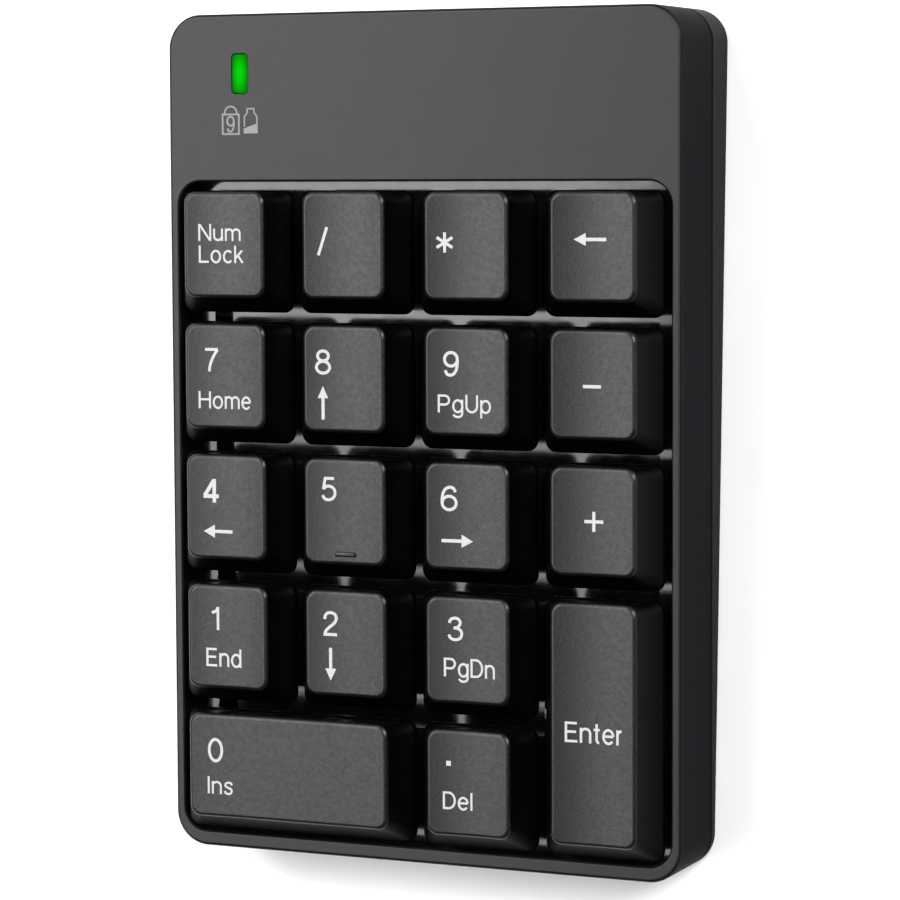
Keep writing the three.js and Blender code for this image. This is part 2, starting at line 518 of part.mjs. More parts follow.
// ---------------------------------------------------------------- materials
const paint = (color, roughness, metalness = 0) => new THREE.MeshStandardMaterial({ color, roughness, metalness });
const MAT = {
  casing: paint(0x4a4a4b, 0.55),
  casingDark: paint(0x2a2b2d, 0.5),
  deck: paint(0x101011, 0.18),
  key: paint(0x39393b, 0.6),
  lens: paint(0x12d412, 0.3),
  silicone: paint(0xc8cbc8, 0.6),
  film: paint(0xb9c4cf, 0.3),
  steel: paint(0xb8babd, 0.35, 1),
  board: paint(0x1d5a34, 0.5),
  chip: paint(0x17171a, 0.5),
  rubber: paint(0x1b1b1c, 0.85),
  cell: paint(0x2f5c9a, 0.35, 0.4),
  switchCan: paint(0xa9abae, 0.35, 1),
  white: paint(0xdedede, 0.5),
  red: paint(0xb01c1c, 0.5),
  black: paint(0x151515, 0.5),
};

// ---------------------------------------------------------------- assembly
const deckFrame = new THREE.Group();
deckFrame.rotation.x = WEDGE;
function place(name, s, material) {
  const mesh = new THREE.Mesh(geometryOf(s), material);
  mesh.name = name;
  deckFrame.add(mesh);
  return mesh;
}

place("top_cover", topCover(), MAT.casing);
place("bottom_cover", bottomCover(), MAT.casingDark);
place("key_deck", keyDeck(), MAT.deck);
for (const k of KEYS) {
  const mesh = place(k.name, keycap(k), MAT.key);
  mesh.position.set(k.u, k.v, 0);
}
place("stabilizer_wire_zero", wireZero, MAT.steel);
place("stabilizer_wire_enter", wireEnter, MAT.steel);
place("dome_mat", domeMat(), MAT.silicone);
place("membrane_upper", sheet(-11.5, -11.35, false, false), MAT.film);
place("membrane_spacer", sheet(-11.7, -11.55, false, true), MAT.film);
place("membrane_lower", sheet(-11.9, -11.75, true, false), MAT.film);
place("backing_plate", backingPlate(), MAT.steel);
place("battery_door", batteryDoor(), MAT.casingDark);
place("battery_a", cell(CELL_A_V, -1), MAT.cell);
place("battery_b", cell(CELL_B_V, 1), MAT.cell);
place("contact_negative", contactNegative(), MAT.steel);
place("contact_positive", contactPositive(), MAT.steel);
place("contact_bridge", contactBridge(), MAT.steel);
place("lead_red", lead([[-17.75, 54.6, -5.45], [-19.2, 54.9, -4.9], [-20.8, 55.9, -6.4], [-21.3, 56.4, -8.4], [-21.3, 56.5, -9.98]]), MAT.red);
place("lead_black", lead([[-17.75, 64.9, -5.45], [-19.2, 65.1, -4.9], [-20.8, 65.9, -6.4], [-21.4, 66.4, -8.4], [-21.4, 66.5, -9.98]]), MAT.black);
place("circuit_board", circuitBoard(), MAT.board);
place("controller_chip", box(-32.5, -26.5, 54.9, 60.9, -9.98, -8.9), MAT.chip);
place("crystal", prism(ring(-23.6, 60.4, 1.35, 3.2, 1.2, 3), -9.98, -7.3), MAT.switchCan);
place("capacitor", cyl(-34.6, 59.0, -9.98, -5.2, 2.0, 14), MAT.chip);
place("indicator_led", prism(ring(-28.2, 63.86, 1.5, 2.5, 0.4, 2), -9.98, -7.6), MAT.white);
place("indicator_lens", lens(), MAT.lens);
place("membrane_clamp", clampBar(), MAT.black);
place("power_switch", box(-33.4, -24.6, 60.1, 63.9, -15.2, -11.75), MAT.switchCan);
place("power_switch_lever", box(-30.7, -29.3, 61.3, 62.7, -17.0, -15.3), MAT.black);
place("power_slider", slideCap(), MAT.black);
FEET.forEach((f, i) => place("foot_" + ["front_left", "front_right", "rear_left", "rear_right"][i], foot(f), MAT.rubber));
[...DECK_SCREWS, ...HEADER_SCREWS].forEach(([x, y], i) => place("case_screw_" + (i + 1), screw(x, y, 1.8, 1.2, 0.95, SCREW_SEAT - 0.05, -8.6), MAT.steel));
CLAMP_SCREWS.forEach(([x, y], i) => place("clamp_screw_" + (i + 1), screw(x, y, 1.5, 1.0, 0.72, -13.65, -7.2, 10), MAT.steel));

// The desk is z = 0 under the feet, and the origin is under the centre of the footprint.
const part = new THREE.Group();
part.add(deckFrame);
part.updateMatrixWorld(true);
const bounds = new THREE.Box3().setFromObject(part, true);
deckFrame.position.set(-(bounds.min.x + bounds.max.x) / 2, -(bounds.min.y + bounds.max.y) / 2, -bounds.min.z);
part.updateMatrixWorld(true);

export default part;
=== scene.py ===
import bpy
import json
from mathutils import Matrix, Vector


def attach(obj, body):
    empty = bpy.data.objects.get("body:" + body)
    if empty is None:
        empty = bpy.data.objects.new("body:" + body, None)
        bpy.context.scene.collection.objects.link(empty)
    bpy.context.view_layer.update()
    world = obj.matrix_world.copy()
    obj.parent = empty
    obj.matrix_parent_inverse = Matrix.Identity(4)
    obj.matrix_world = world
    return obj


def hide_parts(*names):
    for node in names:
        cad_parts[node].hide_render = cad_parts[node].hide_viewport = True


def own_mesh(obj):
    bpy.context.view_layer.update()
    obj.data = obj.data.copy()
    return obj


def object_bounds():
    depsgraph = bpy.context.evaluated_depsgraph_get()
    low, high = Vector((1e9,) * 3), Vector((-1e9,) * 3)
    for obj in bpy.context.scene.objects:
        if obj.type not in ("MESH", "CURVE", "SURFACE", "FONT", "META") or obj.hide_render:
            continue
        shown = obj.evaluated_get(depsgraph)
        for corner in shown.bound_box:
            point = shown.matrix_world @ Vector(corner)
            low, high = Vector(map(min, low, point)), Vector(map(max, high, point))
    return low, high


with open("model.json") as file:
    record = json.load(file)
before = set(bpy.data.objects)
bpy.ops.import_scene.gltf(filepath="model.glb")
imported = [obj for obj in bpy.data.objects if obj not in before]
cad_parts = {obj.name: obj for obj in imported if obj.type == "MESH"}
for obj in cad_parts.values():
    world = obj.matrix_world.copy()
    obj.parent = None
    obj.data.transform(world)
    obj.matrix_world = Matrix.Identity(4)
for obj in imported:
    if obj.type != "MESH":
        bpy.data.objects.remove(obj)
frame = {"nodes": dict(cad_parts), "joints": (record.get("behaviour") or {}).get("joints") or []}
# Numeric keypad. Shapes are made in millimetres in the deck frame (u right, v towards the header, w along the keys' travel,
# w = 0 on the case's top face) and then set in the row's frame in metres.
import json
import math
import random

import bmesh
import bpy
from mathutils import Matrix, Vector

CAD_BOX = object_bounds()
scene = bpy.context.scene
random.seed(7)

# ------------------------------------------------------------------ frames
TILT = math.radians(2.44)
S, C = math.sin(TILT), math.cos(TILT)
_pivot = next(j for j in frame["joints"] if j["name"] == "stabilizer_zero_turn")["pos_m"]
_u, _v, _w = -19.05, -38.1 + 1.8, -3.4
OY = _pivot[1] * 1000 - (_v * C - _w * S)
OZ = _pivot[2] * 1000 - (_v * S + _w * C)
MM = Matrix.Scale(0.001, 4)
DECK = MM @ Matrix.Translation((0, OY, OZ)) @ Matrix.Rotation(TILT, 4, "X")
TO_DECK = DECK.inverted()
FLOOR_W = -16.4
F2D = Matrix.Translation((0, 0, FLOOR_W)) @ Matrix.Rotation(-TILT, 4, "X")  # floor frame to deck frame

# ------------------------------------------------------------------ sizes shared with the CAD
PITCH = 19.05
CASE_HX, CASE_V0, CASE_V1, CASE_R = 39.95, -50.1, 72.5, 5.0
WELL_HX, WELL_V0, WELL_V1, WELL_R = 38.35, -47.8, 48.2, 3.4
SEAM_W = -12.4
KEY_B = 17.75 / 2
TOP_U, TOP_V, SHIFT = 6.13, 7.31, 1.03
Z0, Z1 = -0.5, 5.0
DISH = 0.45


# ------------------------------------------------------------------ mesh helpers
def new_object(name, mesh):
    ob = bpy.data.objects.new(name, mesh)
    scene.collection.objects.link(ob)
    return ob


def mesh_of(name, verts, faces):
    me = bpy.data.meshes.new(name)
    me.from_pydata([tuple(v) for v in verts], [], faces)
    me.validate()
    me.update()
    return new_object(name, me)


def rring(cx, cy, hx, hy, r, n=10, nx=0, ny=0):
    """A rounded rectangle, anticlockwise, n segments to a corner and nx, ny cuts along the straight sides."""
    r = max(1e-3, min(r, hx - 1e-3, hy - 1e-3))
    pts = []
    for sx, sy, a0 in ((1, 1, 0), (-1, 1, 90), (-1, -1, 180), (1, -1, 270)):
        ox, oy = cx + sx * (hx - r), cy + sy * (hy - r)
        for i in range(n + 1):
            t = math.radians(a0 + 90 * i / n)
            pts.append((ox + r * math.cos(t), oy + r * math.sin(t)))
        cuts = nx if a0 in (0, 180) else ny
        if cuts:
            last = pts[-1]
            nxt = {0: (cx - (hx - r), cy + hy), 90: (cx - hx, cy - (hy - r)), 180: (cx + (hx - r), cy - hy), 270: (cx + hx, cy + (hy - r))}[a0]
            for i in range(1, cuts + 1):
                f = i / (cuts + 1)
                pts.append((last[0] + (nxt[0] - last[0]) * f, last[1] + (nxt[1] - last[1]) * f))
    return pts


def loft(name, rings, caps=True):
    """A closed solid through rings of 3-D points."""
    n = len(rings[0])
    verts = [p for ring in rings for p in ring]
    faces = []
    for k in range(len(rings) - 1):
        for i in range(n):
            j = (i + 1) % n
            faces.append((k * n + i, k * n + j, (k + 1) * n + j, (k + 1) * n + i))
    if caps:
        faces.append(tuple(reversed(range(n))))
        faces.append(tuple((len(rings) - 1) * n + i for i in range(n)))
    return mesh_of(name, verts, faces)


def levels(points2d_and_z):
    return [[(x, y, z) for x, y in pts] for pts, z in points2d_and_z]


def prism(pts, z0, z1, name="prism"):
    return loft(name, levels([(pts, z0), (pts, z1)]))


def box(x0, x1, y0, y1, z0, z1, r=0.0, name="box"):
    pts = rring((x0 + x1) / 2, (y0 + y1) / 2, (x1 - x0) / 2, (y1 - y0) / 2, r, 6) if r else [(x1, y1), (x0, y1), (x0, y0), (x1, y0)]
    return prism(pts, z0, z1, name)


def cyl(x, y, z0, z1, r, n=40, r1=None, name="cyl"):
    r1 = r if r1 is None else r1
    ring = lambda rr, z: [(x + rr * math.cos(2 * math.pi * i / n), y + rr * math.sin(2 * math.pi * i / n), z) for i in range(n)]
    return loft(name, [ring(r, z0), ring(r1, z1)])


def lathe(name, profile, n=40, centre=(0, 0)):
    """A body of revolution about w; the profile runs from the axis to the axis, bottom to top."""
    verts, rows = [], []
    for r, z in profile:
        if r < 1e-6:
            rows.append([len(verts)])
            verts.append((centre[0], centre[1], z))
        else:
            rows.append(list(range(len(verts), len(verts) + n)))
            verts += [(centre[0] + r * math.cos(2 * math.pi * i / n), centre[1] + r * math.sin(2 * math.pi * i / n), z) for i in range(n)]
    faces = []
    for a, b in zip(rows, rows[1:]):
        for i in range(n):
            j = (i + 1) % n
            if len(a) == 1 and len(b) == 1:
                continue
            if len(a) == 1:
                faces.append((a[0], b[j], b[i]))
            elif len(b) == 1:
                faces.append((a[i], a[j], b[0]))
            else:
                faces.append((a[i], a[j], b[j], b[i]))
    return mesh_of(name, verts, faces)


def tube(name, points, r, n=12):
    """A round bar with flat ends along points."""
    pts = [Vector(p) for p in points]
    rings, up = [], None
    for i, p in enumerate(pts):
        t = (pts[min(i + 1, len(pts) - 1)] - pts[max(i - 1, 0)]).normalized()
        if up is None:
            up = t.orthogonal().normalized()
        up = (up - t * up.dot(t)).normalized()
        side = t.cross(up)
        rings.append([tuple(p + (up * math.cos(2 * math.pi * k / n) + side * math.sin(2 * math.pi * k / n)) * r) for k in range(n)])
    return loft(name, rings)


def smooth_path(points, steps=8):
    """A Catmull-Rom line through points."""
    pts = [Vector(p) for p in points]
    out = []
    for i in range(len(pts) - 1):
        p0, p1, p2, p3 = pts[max(i - 1, 0)], pts[i], pts[i + 1], pts[min(i + 2, len(pts) - 1)]
        for k in range(steps):
            t = k / steps
            out.append(0.5 * ((2 * p1) + (p2 - p0) * t + (2 * p0 - 5 * p1 + 4 * p2 - p3) * t * t + (3 * p1 - p0 - 3 * p2 + p3) * t**3))
    return out + [pts[-1]]


def transform(ob, m):
    ob.data.transform(m)
    ob.data.update()
    return ob


def joined(name, obs):
    """Several objects' meshes in one, as separate islands."""
    bm = bmesh.new()
    for o in obs:
        bm.from_mesh(o.data)
    me = bpy.data.meshes.new(name)
    bm.to_mesh(me)
    bm.free()
    for o in obs:
        drop(o)
    return new_object(name, me)


def drop(ob):
    me = ob.data
    bpy.data.objects.remove(ob)
    if me.users == 0:
        bpy.data.meshes.remove(me)


def csg(base, op, *others):
    """base with the others joined, cut or kept, as a new mesh on base."""
    for other in others:
        m = base.modifiers.new("csg", "BOOLEAN")
        m.operation = {"+": "UNION", "-": "DIFFERENCE", "&": "INTERSECT"}[op]
        m.object = other
        m.solver = "MANIFOLD"
        dg = bpy.context.evaluated_depsgraph_get()
        me = bpy.data.meshes.new_from_object(base.evaluated_get(dg))
        if len(me.polygons) == 0 or (op != "&" and len(me.polygons) < 4):
            m.solver = "EXACT"
            dg = bpy.context.evaluated_depsgraph_get()
            me = bpy.data.meshes.new_from_object(base.evaluated_get(dg))
        base.modifiers.remove(m)
        old = base.data
        base.data = me
        if old.users == 0:
            bpy.data.meshes.remove(old)
        drop(other)
    return base


def shade(ob, angle=30.0, bevel=0.0, segments=2, limit=38.0, tidy=True):
    """Flat faces stay flat, small steps of a rounding shade smooth, and other edges stay crisp or get a small radius."""
    bm = bmesh.new()
    bm.from_mesh(ob.data)
    bmesh.ops.remove_doubles(bm, verts=bm.verts, dist=1e-4)
    if tidy:
        bmesh.ops.dissolve_limit(bm, angle_limit=math.radians(0.3), verts=bm.verts, edges=bm.edges)
    for f in bm.faces:
        f.smooth = True
    lim = math.radians(angle)
    if not bevel:
        for e in bm.edges:
            if len(e.link_faces) == 2 and e.calc_face_angle(0) > lim:
                e.smooth = False
    bm.to_mesh(ob.data)
    bm.free()
    if bevel:
        m = ob.modifiers.new("bevel", "BEVEL")
        m.width = bevel
        m.segments = segments
        m.limit_method = "ANGLE"
        m.angle_limit = math.radians(limit)
        m.use_clamp_overlap = True
        dg = bpy.context.evaluated_depsgraph_get()
        me = bpy.data.meshes.new_from_object(ob.evaluated_get(dg))
        ob.modifiers.remove(m)
        ob.data = me
        bm = bmesh.new()
        bm.from_mesh(me)
        for f in bm.faces:
            f.smooth = True
        for e in bm.edges:
            if len(e.link_faces) == 2 and e.calc_face_angle(0) > math.radians(50):
                e.smooth = False
        bm.to_mesh(me)
        bm.free()
    w = ob.modifiers.new("weighted", "WEIGHTED_NORMAL")
    w.keep_sharp = True
    w.weight = 60
    return ob


def done(ob, material, body, replaces=(), m=None):
    """Sets a piece in the row's frame, gives it its material and its body, and hides the CAD nodes it stands for."""
    transform(ob, DECK if m is None else m)
    ob.data.materials.clear()
    ob.data.materials.append(material)
    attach(ob, body)
    if replaces:
        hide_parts(*replaces)
    return ob


def trim(ob):
    """Keeps a shell's vertices inside the CAD's box; only hundredths of a millimetre of its roundings are outside."""
    lo, hi = CAD_BOX
    for p in ob.data.vertices:
        for k in range(3):
            p.co[k] = min(max(p.co[k], lo[k] + 2e-6), hi[k] - 2e-6)
    return ob


# ------------------------------------------------------------------ materials
class Nodes:
    def __init__(self, name):
        self.mat = bpy.data.materials.new(name)
        self.mat.use_nodes = True
        self.t = self.mat.node_tree
        self.t.nodes.clear()
        self.out = self.t.nodes.new("ShaderNodeOutputMaterial")
        self.bsdf = self.t.nodes.new("ShaderNodeBsdfPrincipled")
        self.t.links.new(self.bsdf.outputs[0], self.out.inputs[0])
        self.coord = self.t.nodes.new("ShaderNodeTexCoord").outputs["Object"]

    def node(self, kind, **inputs):
        n = self.t.nodes.new(kind)
        for k, v in inputs.items():
            n.inputs[k].default_value = v
        return n

    def link(self, a, b):
        self.t.links.new(a, b)

    def noise(self, size_mm, detail=2.0, rough=0.5, stretch=None):
        n = self.node("ShaderNodeTexNoise", Scale=1000.0 / size_mm, Detail=detail, Roughness=rough)
        src = self.coord
        if stretch:
            mp = self.t.nodes.new("ShaderNodeMapping")
            mp.inputs["Scale"].default_value = stretch
            self.link(src, mp.inputs["Vector"])
            src = mp.outputs[0]
        self.link(src, n.inputs["Vector"])
        return n.outputs[0]

    def ramp(self, src, stops):
        r = self.t.nodes.new("ShaderNodeValToRGB")
        el = r.color_ramp.elements
        while len(el) > 1:
            el.remove(el[-1])
        for i, (p, c) in enumerate(stops):
            e = el[0] if i == 0 else el.new(p)
            e.position = p
            e.color = (*c, 1.0) if len(c) == 3 else c
        self.link(src, r.inputs[0])
        return r.outputs[0]

    def span(self, src, lo, hi, a=0.0, b=1.0):
        m = self.t.nodes.new("ShaderNodeMapRange")
        m.inputs["From Min"].default_value, m.inputs["From Max"].default_value = a, b
        m.inputs["To Min"].default_value, m.inputs["To Max"].default_value = lo, hi
        self.link(src, m.inputs["Value"])
        return m.outputs[0]

    def mix(self, fac, a, b, mode="MIX"):
        m = self.t.nodes.new("ShaderNodeMix")
        m.data_type = "RGBA"
        m.blend_type = mode
        for sock, v in ((m.inputs["Factor"], fac), (m.inputs["A"], a), (m.inputs["B"], b)):
            pass
        ins = {"Factor": m.inputs[0], "A": m.inputs[6], "B": m.inputs[7]}
        for key, v in (("Factor", fac), ("A", a), ("B", b)):
            if isinstance(v, (int, float)):
                ins[key].default_value = v
            elif isinstance(v, tuple):
                ins[key].default_value = (*v, 1.0) if len(v) == 3 else v
            else:
                self.link(v, ins[key])
        return m.outputs[2]

    def bump(self, src, distance_mm, strength=1.0, after=None):
        b = self.node("ShaderNodeBump", Strength=strength, Distance=distance_mm / 1000.0)
        self.link(src, b.inputs["Height"])
        if after is not None:
            self.link(after, b.inputs["Normal"])
        return b.outputs[0]

    def set(self, **kw):
        for k, v in kw.items():
            sock = self.bsdf.inputs[k.replace("_", " ")]
            if isinstance(v, (int, float, tuple)):
                sock.default_value = (*v, 1.0) if isinstance(v, tuple) and len(v) == 3 else v
            else:
                self.link(v, sock)
        return self.mat


def moulded(name, base, rough, grain=0.22, depth=0.012, spec=0.5, spread=0.12, rough_spread=0.08, fleck=0.0, gloss_mm=None):
    """Moulded plastic: a fine spark-eroded grain, a slow change of tone and a slight change of gloss."""
    n = Nodes(name)
    slow = n.noise(19.0, 3.0, 0.55)
    tone = n.ramp(slow, [(0.3, tuple(c * (1 - spread) for c in base)), (0.7, tuple(c * (1 + spread) for c in base))])
    if fleck:
        speck = n.ramp(n.noise(0.5, 4.0, 0.65), [(0.52, (0, 0, 0)), (0.66, (1, 1, 1))])
        tone = n.mix(speck, tone, tuple(min(1, c * (1 + fleck)) for c in base))
    fine = n.noise(grain, 3.0, 0.6)
    coarse = n.noise(gloss_mm or grain * 6, 2.0, 0.5)
    gloss = n.span(coarse, rough - rough_spread, rough + rough_spread, 0.3, 0.7)
    normal = n.bump(fine, depth)
    return n.set(Base_Color=tone, Roughness=gloss, Normal=normal, Specular_IOR_Level=spec)


M = {}
# The case plastic comes as lit and shaded copies sorted by facing: the face keeps the lighter one, the walls get a
# darker, bluish, near-matte one and the bezel roundings a darker, duller one; the darker copies are painted shade.
M["case"] = moulded("case_plastic", (0.0085, 0.0085, 0.0086), 0.40, grain=0.26, depth=0.004, spread=0.06, rough_spread=0.015, spec=0.265)
M["case_side"] = moulded("case_side_plastic", (0.0042, 0.0045, 0.0058), 0.50, grain=0.30, depth=0.006, spread=0.06, rough_spread=0.02, spec=0.008)
M["case_rim"] = moulded("case_rim_plastic", (0.0050, 0.0051, 0.0056), 0.44, grain=0.28, depth=0.005, spread=0.06, rough_spread=0.02, spec=0.07)
M["lower"] = moulded("lower_case_plastic", (0.0088, 0.0090, 0.0098), 0.50, grain=0.30, depth=0.008, spread=0.06, rough_spread=0.03, spec=0.022)
# The key plastic comes as lit and shaded copies sorted by facing: the finger faces keep the lighter one, the skirts get
# a near-black one (painted shade) and the rear faces a darker, glossier one that catches a painted highlight.
M["key"] = moulded("key_plastic", (0.0032, 0.0032, 0.0034), 0.37, grain=0.42, depth=0.020, spread=0.10, rough_spread=0.05, spec=0.35, fleck=0.4, gloss_mm=0.7)
M["key_rear"] = moulded("key_rear_plastic", (0.0015, 0.0015, 0.0016), 0.26, grain=0.34, depth=0.006, spread=0.10, rough_spread=0.03, spec=0.45)
M["key_side"] = moulded("key_skirt_painted_shade_plastic", (0.0003, 0.0003, 0.00032), 0.46, grain=0.34, depth=0.008, spread=0.10, rough_spread=0.03, spec=0.07)
M["door"] = moulded("door_plastic", (0.0092, 0.0094, 0.0102), 0.48, grain=0.30, depth=0.008, spread=0.06, rough_spread=0.03, spec=0.05)
M["black"] = moulded("moulded_black", (0.012, 0.012, 0.013), 0.42, grain=0.2, depth=0.006)
M["rubber"] = moulded("foot_rubber", (0.015, 0.015, 0.0155), 0.8, grain=0.5, depth=0.02, spec=0.25, spread=0.15)
M["ink"] = moulded("legend_ink", (0.38, 0.38, 0.38), 0.5, grain=0.25, depth=0.003, spread=0.02, spec=0.3)
M["grey_ink"] = moulded("symbol_ink", (0.178, 0.175, 0.181), 0.5, grain=0.25, depth=0.003, spread=0.03, spec=0.3)


def deck_material():
    n = Nodes("deck_gloss")
    slow = n.noise(9.0, 2.0)
    tone = n.ramp(slow, [(0.3, (0.004, 0.004, 0.0042)), (0.7, (0.006, 0.006, 0.0062))])
    wave = n.bump(n.noise(5.0, 1.0), 0.012)
    gloss = n.span(n.noise(3.0, 3.0), 0.08, 0.15, 0.3, 0.7)
    return n.set(Base_Color=tone, Roughness=gloss, Normal=wave, Specular_IOR_Level=0.48)


def metal(name, base, rough, grain=0.12, stretch=None, spread=0.1):
    n = Nodes(name)
    tone = n.ramp(n.noise(4.0, 3.0), [(0.3, tuple(c * (1 - spread) for c in base)), (0.7, tuple(min(1, c * (1 + spread)) for c in base))])
    lines = n.noise(grain, 2.0, 0.6, stretch)
    gloss = n.span(lines, rough * 0.8, rough * 1.25, 0.3, 0.7)
    return n.set(Base_Color=tone, Metallic=1.0, Roughness=gloss, Normal=n.bump(lines, 0.002))


M["deck"] = deck_material()
M["steel"] = metal("bright_steel", (0.58, 0.585, 0.59), 0.28, stretch=(1, 12, 1))
M["screw"] = metal("screw_steel", (0.34, 0.34, 0.35), 0.32)
M["nickel"] = metal("contact_nickel", (0.66, 0.64, 0.6), 0.2)
M["can"] = metal("component_can", (0.6, 0.6, 0.61), 0.3)


def silicone():
    n = Nodes("dome_silicone")
    tone = n.ramp(n.noise(6.0), [(0.3, (0.55, 0.56, 0.54)), (0.7, (0.64, 0.65, 0.63))])
    return n.set(Base_Color=tone, Roughness=n.span(n.noise(1.0), 0.5, 0.62), Normal=n.bump(n.noise(0.4), 0.006), Subsurface_Weight=0.2)


def film():
    n = Nodes("membrane_film")
    brick = n.t.nodes.new("ShaderNodeTexWave")
    brick.inputs["Scale"].default_value = 190.0
    brick.inputs["Distortion"].default_value = 6.0
    n.link(n.coord, brick.inputs["Vector"])
    tracks = n.ramp(brick.outputs[0], [(0.86, (0.55, 0.6, 0.66)), (0.9, (0.42, 0.43, 0.45))])
    return n.set(Base_Color=tracks, Roughness=n.span(n.noise(2.0), 0.18, 0.3))


def board():
    n = Nodes("board_laminate")
    v = n.t.nodes.new("ShaderNodeTexBrick")
    v.inputs["Scale"].default_value = 260.0
    for key, c in (("Color1", (0.012, 0.115, 0.045, 1)), ("Color2", (0.016, 0.14, 0.055, 1)), ("Mortar", (0.03, 0.2, 0.085, 1))):
        v.inputs[key].default_value = c
    n.link(n.coord, v.inputs["Vector"])
    return n.set(Base_Color=v.outputs[0], Roughness=n.span(n.noise(2.0), 0.28, 0.4), Normal=n.bump(n.noise(0.6), 0.01))


def jacket():
    """A plain cell jacket: a dark body under a thin clear coat."""
    n = Nodes("battery_jacket")
    sep = n.t.nodes.new("ShaderNodeSeparateXYZ")
    n.link(n.coord, sep.inputs[0])
    base = n.ramp(n.noise(8.0), [(0.3, (0.02, 0.05, 0.13)), (0.7, (0.025, 0.065, 0.16))])
    return n.set(Base_Color=base, Metallic=0.35, Roughness=n.span(n.noise(1.5), 0.22, 0.32), Normal=n.bump(n.noise(3.0), 0.01), Coat_Weight=0.4, Coat_Roughness=0.1)


def lens_material():
    """A lit diffuser: brightest along its middle, dimmer at its rim."""
    n = Nodes("lens_green")
    mid = DECK @ Vector((-28.2, 63.86, 0.0))
    mp = n.t.nodes.new("ShaderNodeMapping")
    mp.inputs["Location"].default_value = (-mid.x / 0.00158, -mid.y / 0.0037, 0)
    mp.inputs["Scale"].default_value = (1 / 0.00158, 1 / 0.0037, 0)
    n.link(n.coord, mp.inputs["Vector"])
    g = n.t.nodes.new("ShaderNodeTexGradient")
    g.gradient_type = "QUADRATIC_SPHERE"
    n.link(mp.outputs[0], g.inputs["Vector"])
    core = n.ramp(g.outputs[0], [(0.0, (0.0003, 0.17, 0.0004)), (0.16, (0.0006, 0.38, 0.0008)), (0.5, (0.001, 0.60, 0.0014)), (1.0, (0.0014, 0.66, 0.0018))])
    glow = n.mix(n.span(n.noise(1.4, 2.0), 0.0, 0.12), core, (0.001, 0.30, 0.002))
    return n.set(Base_Color=n.mix(n.span(n.noise(2.2, 2.0), 0.0, 1.0), (0.0006, 0.02, 0.0008), (0.0008, 0.03, 0.001)), Roughness=n.span(n.noise(0.8), 0.42, 0.5), Emission_Color=glow, Emission_Strength=1.0, Specular_IOR_Level=0.0)


M["silicone"], M["film"], M["board"], M["jacket"], M["lens"] = silicone(), film(), board(), jacket(), lens_material()
M["led"] = moulded("led_package", (0.7, 0.71, 0.68), 0.3, grain=0.3, depth=0.002, spread=0.03)
M["red"] = moulded("lead_red", (0.4, 0.02, 0.02), 0.35, grain=0.5, depth=0.004)
M["lead"] = moulded("lead_black", (0.018, 0.018, 0.018), 0.35, grain=0.5, depth=0.004)
M["part"] = moulded("component_black", (0.014, 0.014, 0.015), 0.45, grain=0.15, depth=0.004)
M["brass"] = metal("cell_cap", (0.62, 0.6, 0.56), 0.25)

# ------------------------------------------------------------------ legends: a plain sans of strokes, cap height 1
def arc(cx, cy, rx, ry, a0, a1, n=14):
    return [(cx + rx * math.cos(math.radians(a0 + (a1 - a0) * i / n)), cy + ry * math.sin(math.radians(a0 + (a1 - a0) * i / n))) for i in range(n + 1)]


def curve(*pts):
    return [(p.x, p.y) for p in smooth_path([(x, y, 0) for x, y in pts], 5)]


def oval(cx, cy, rx, ry):
    return arc(cx, cy, rx, ry, 0, 360, 32)


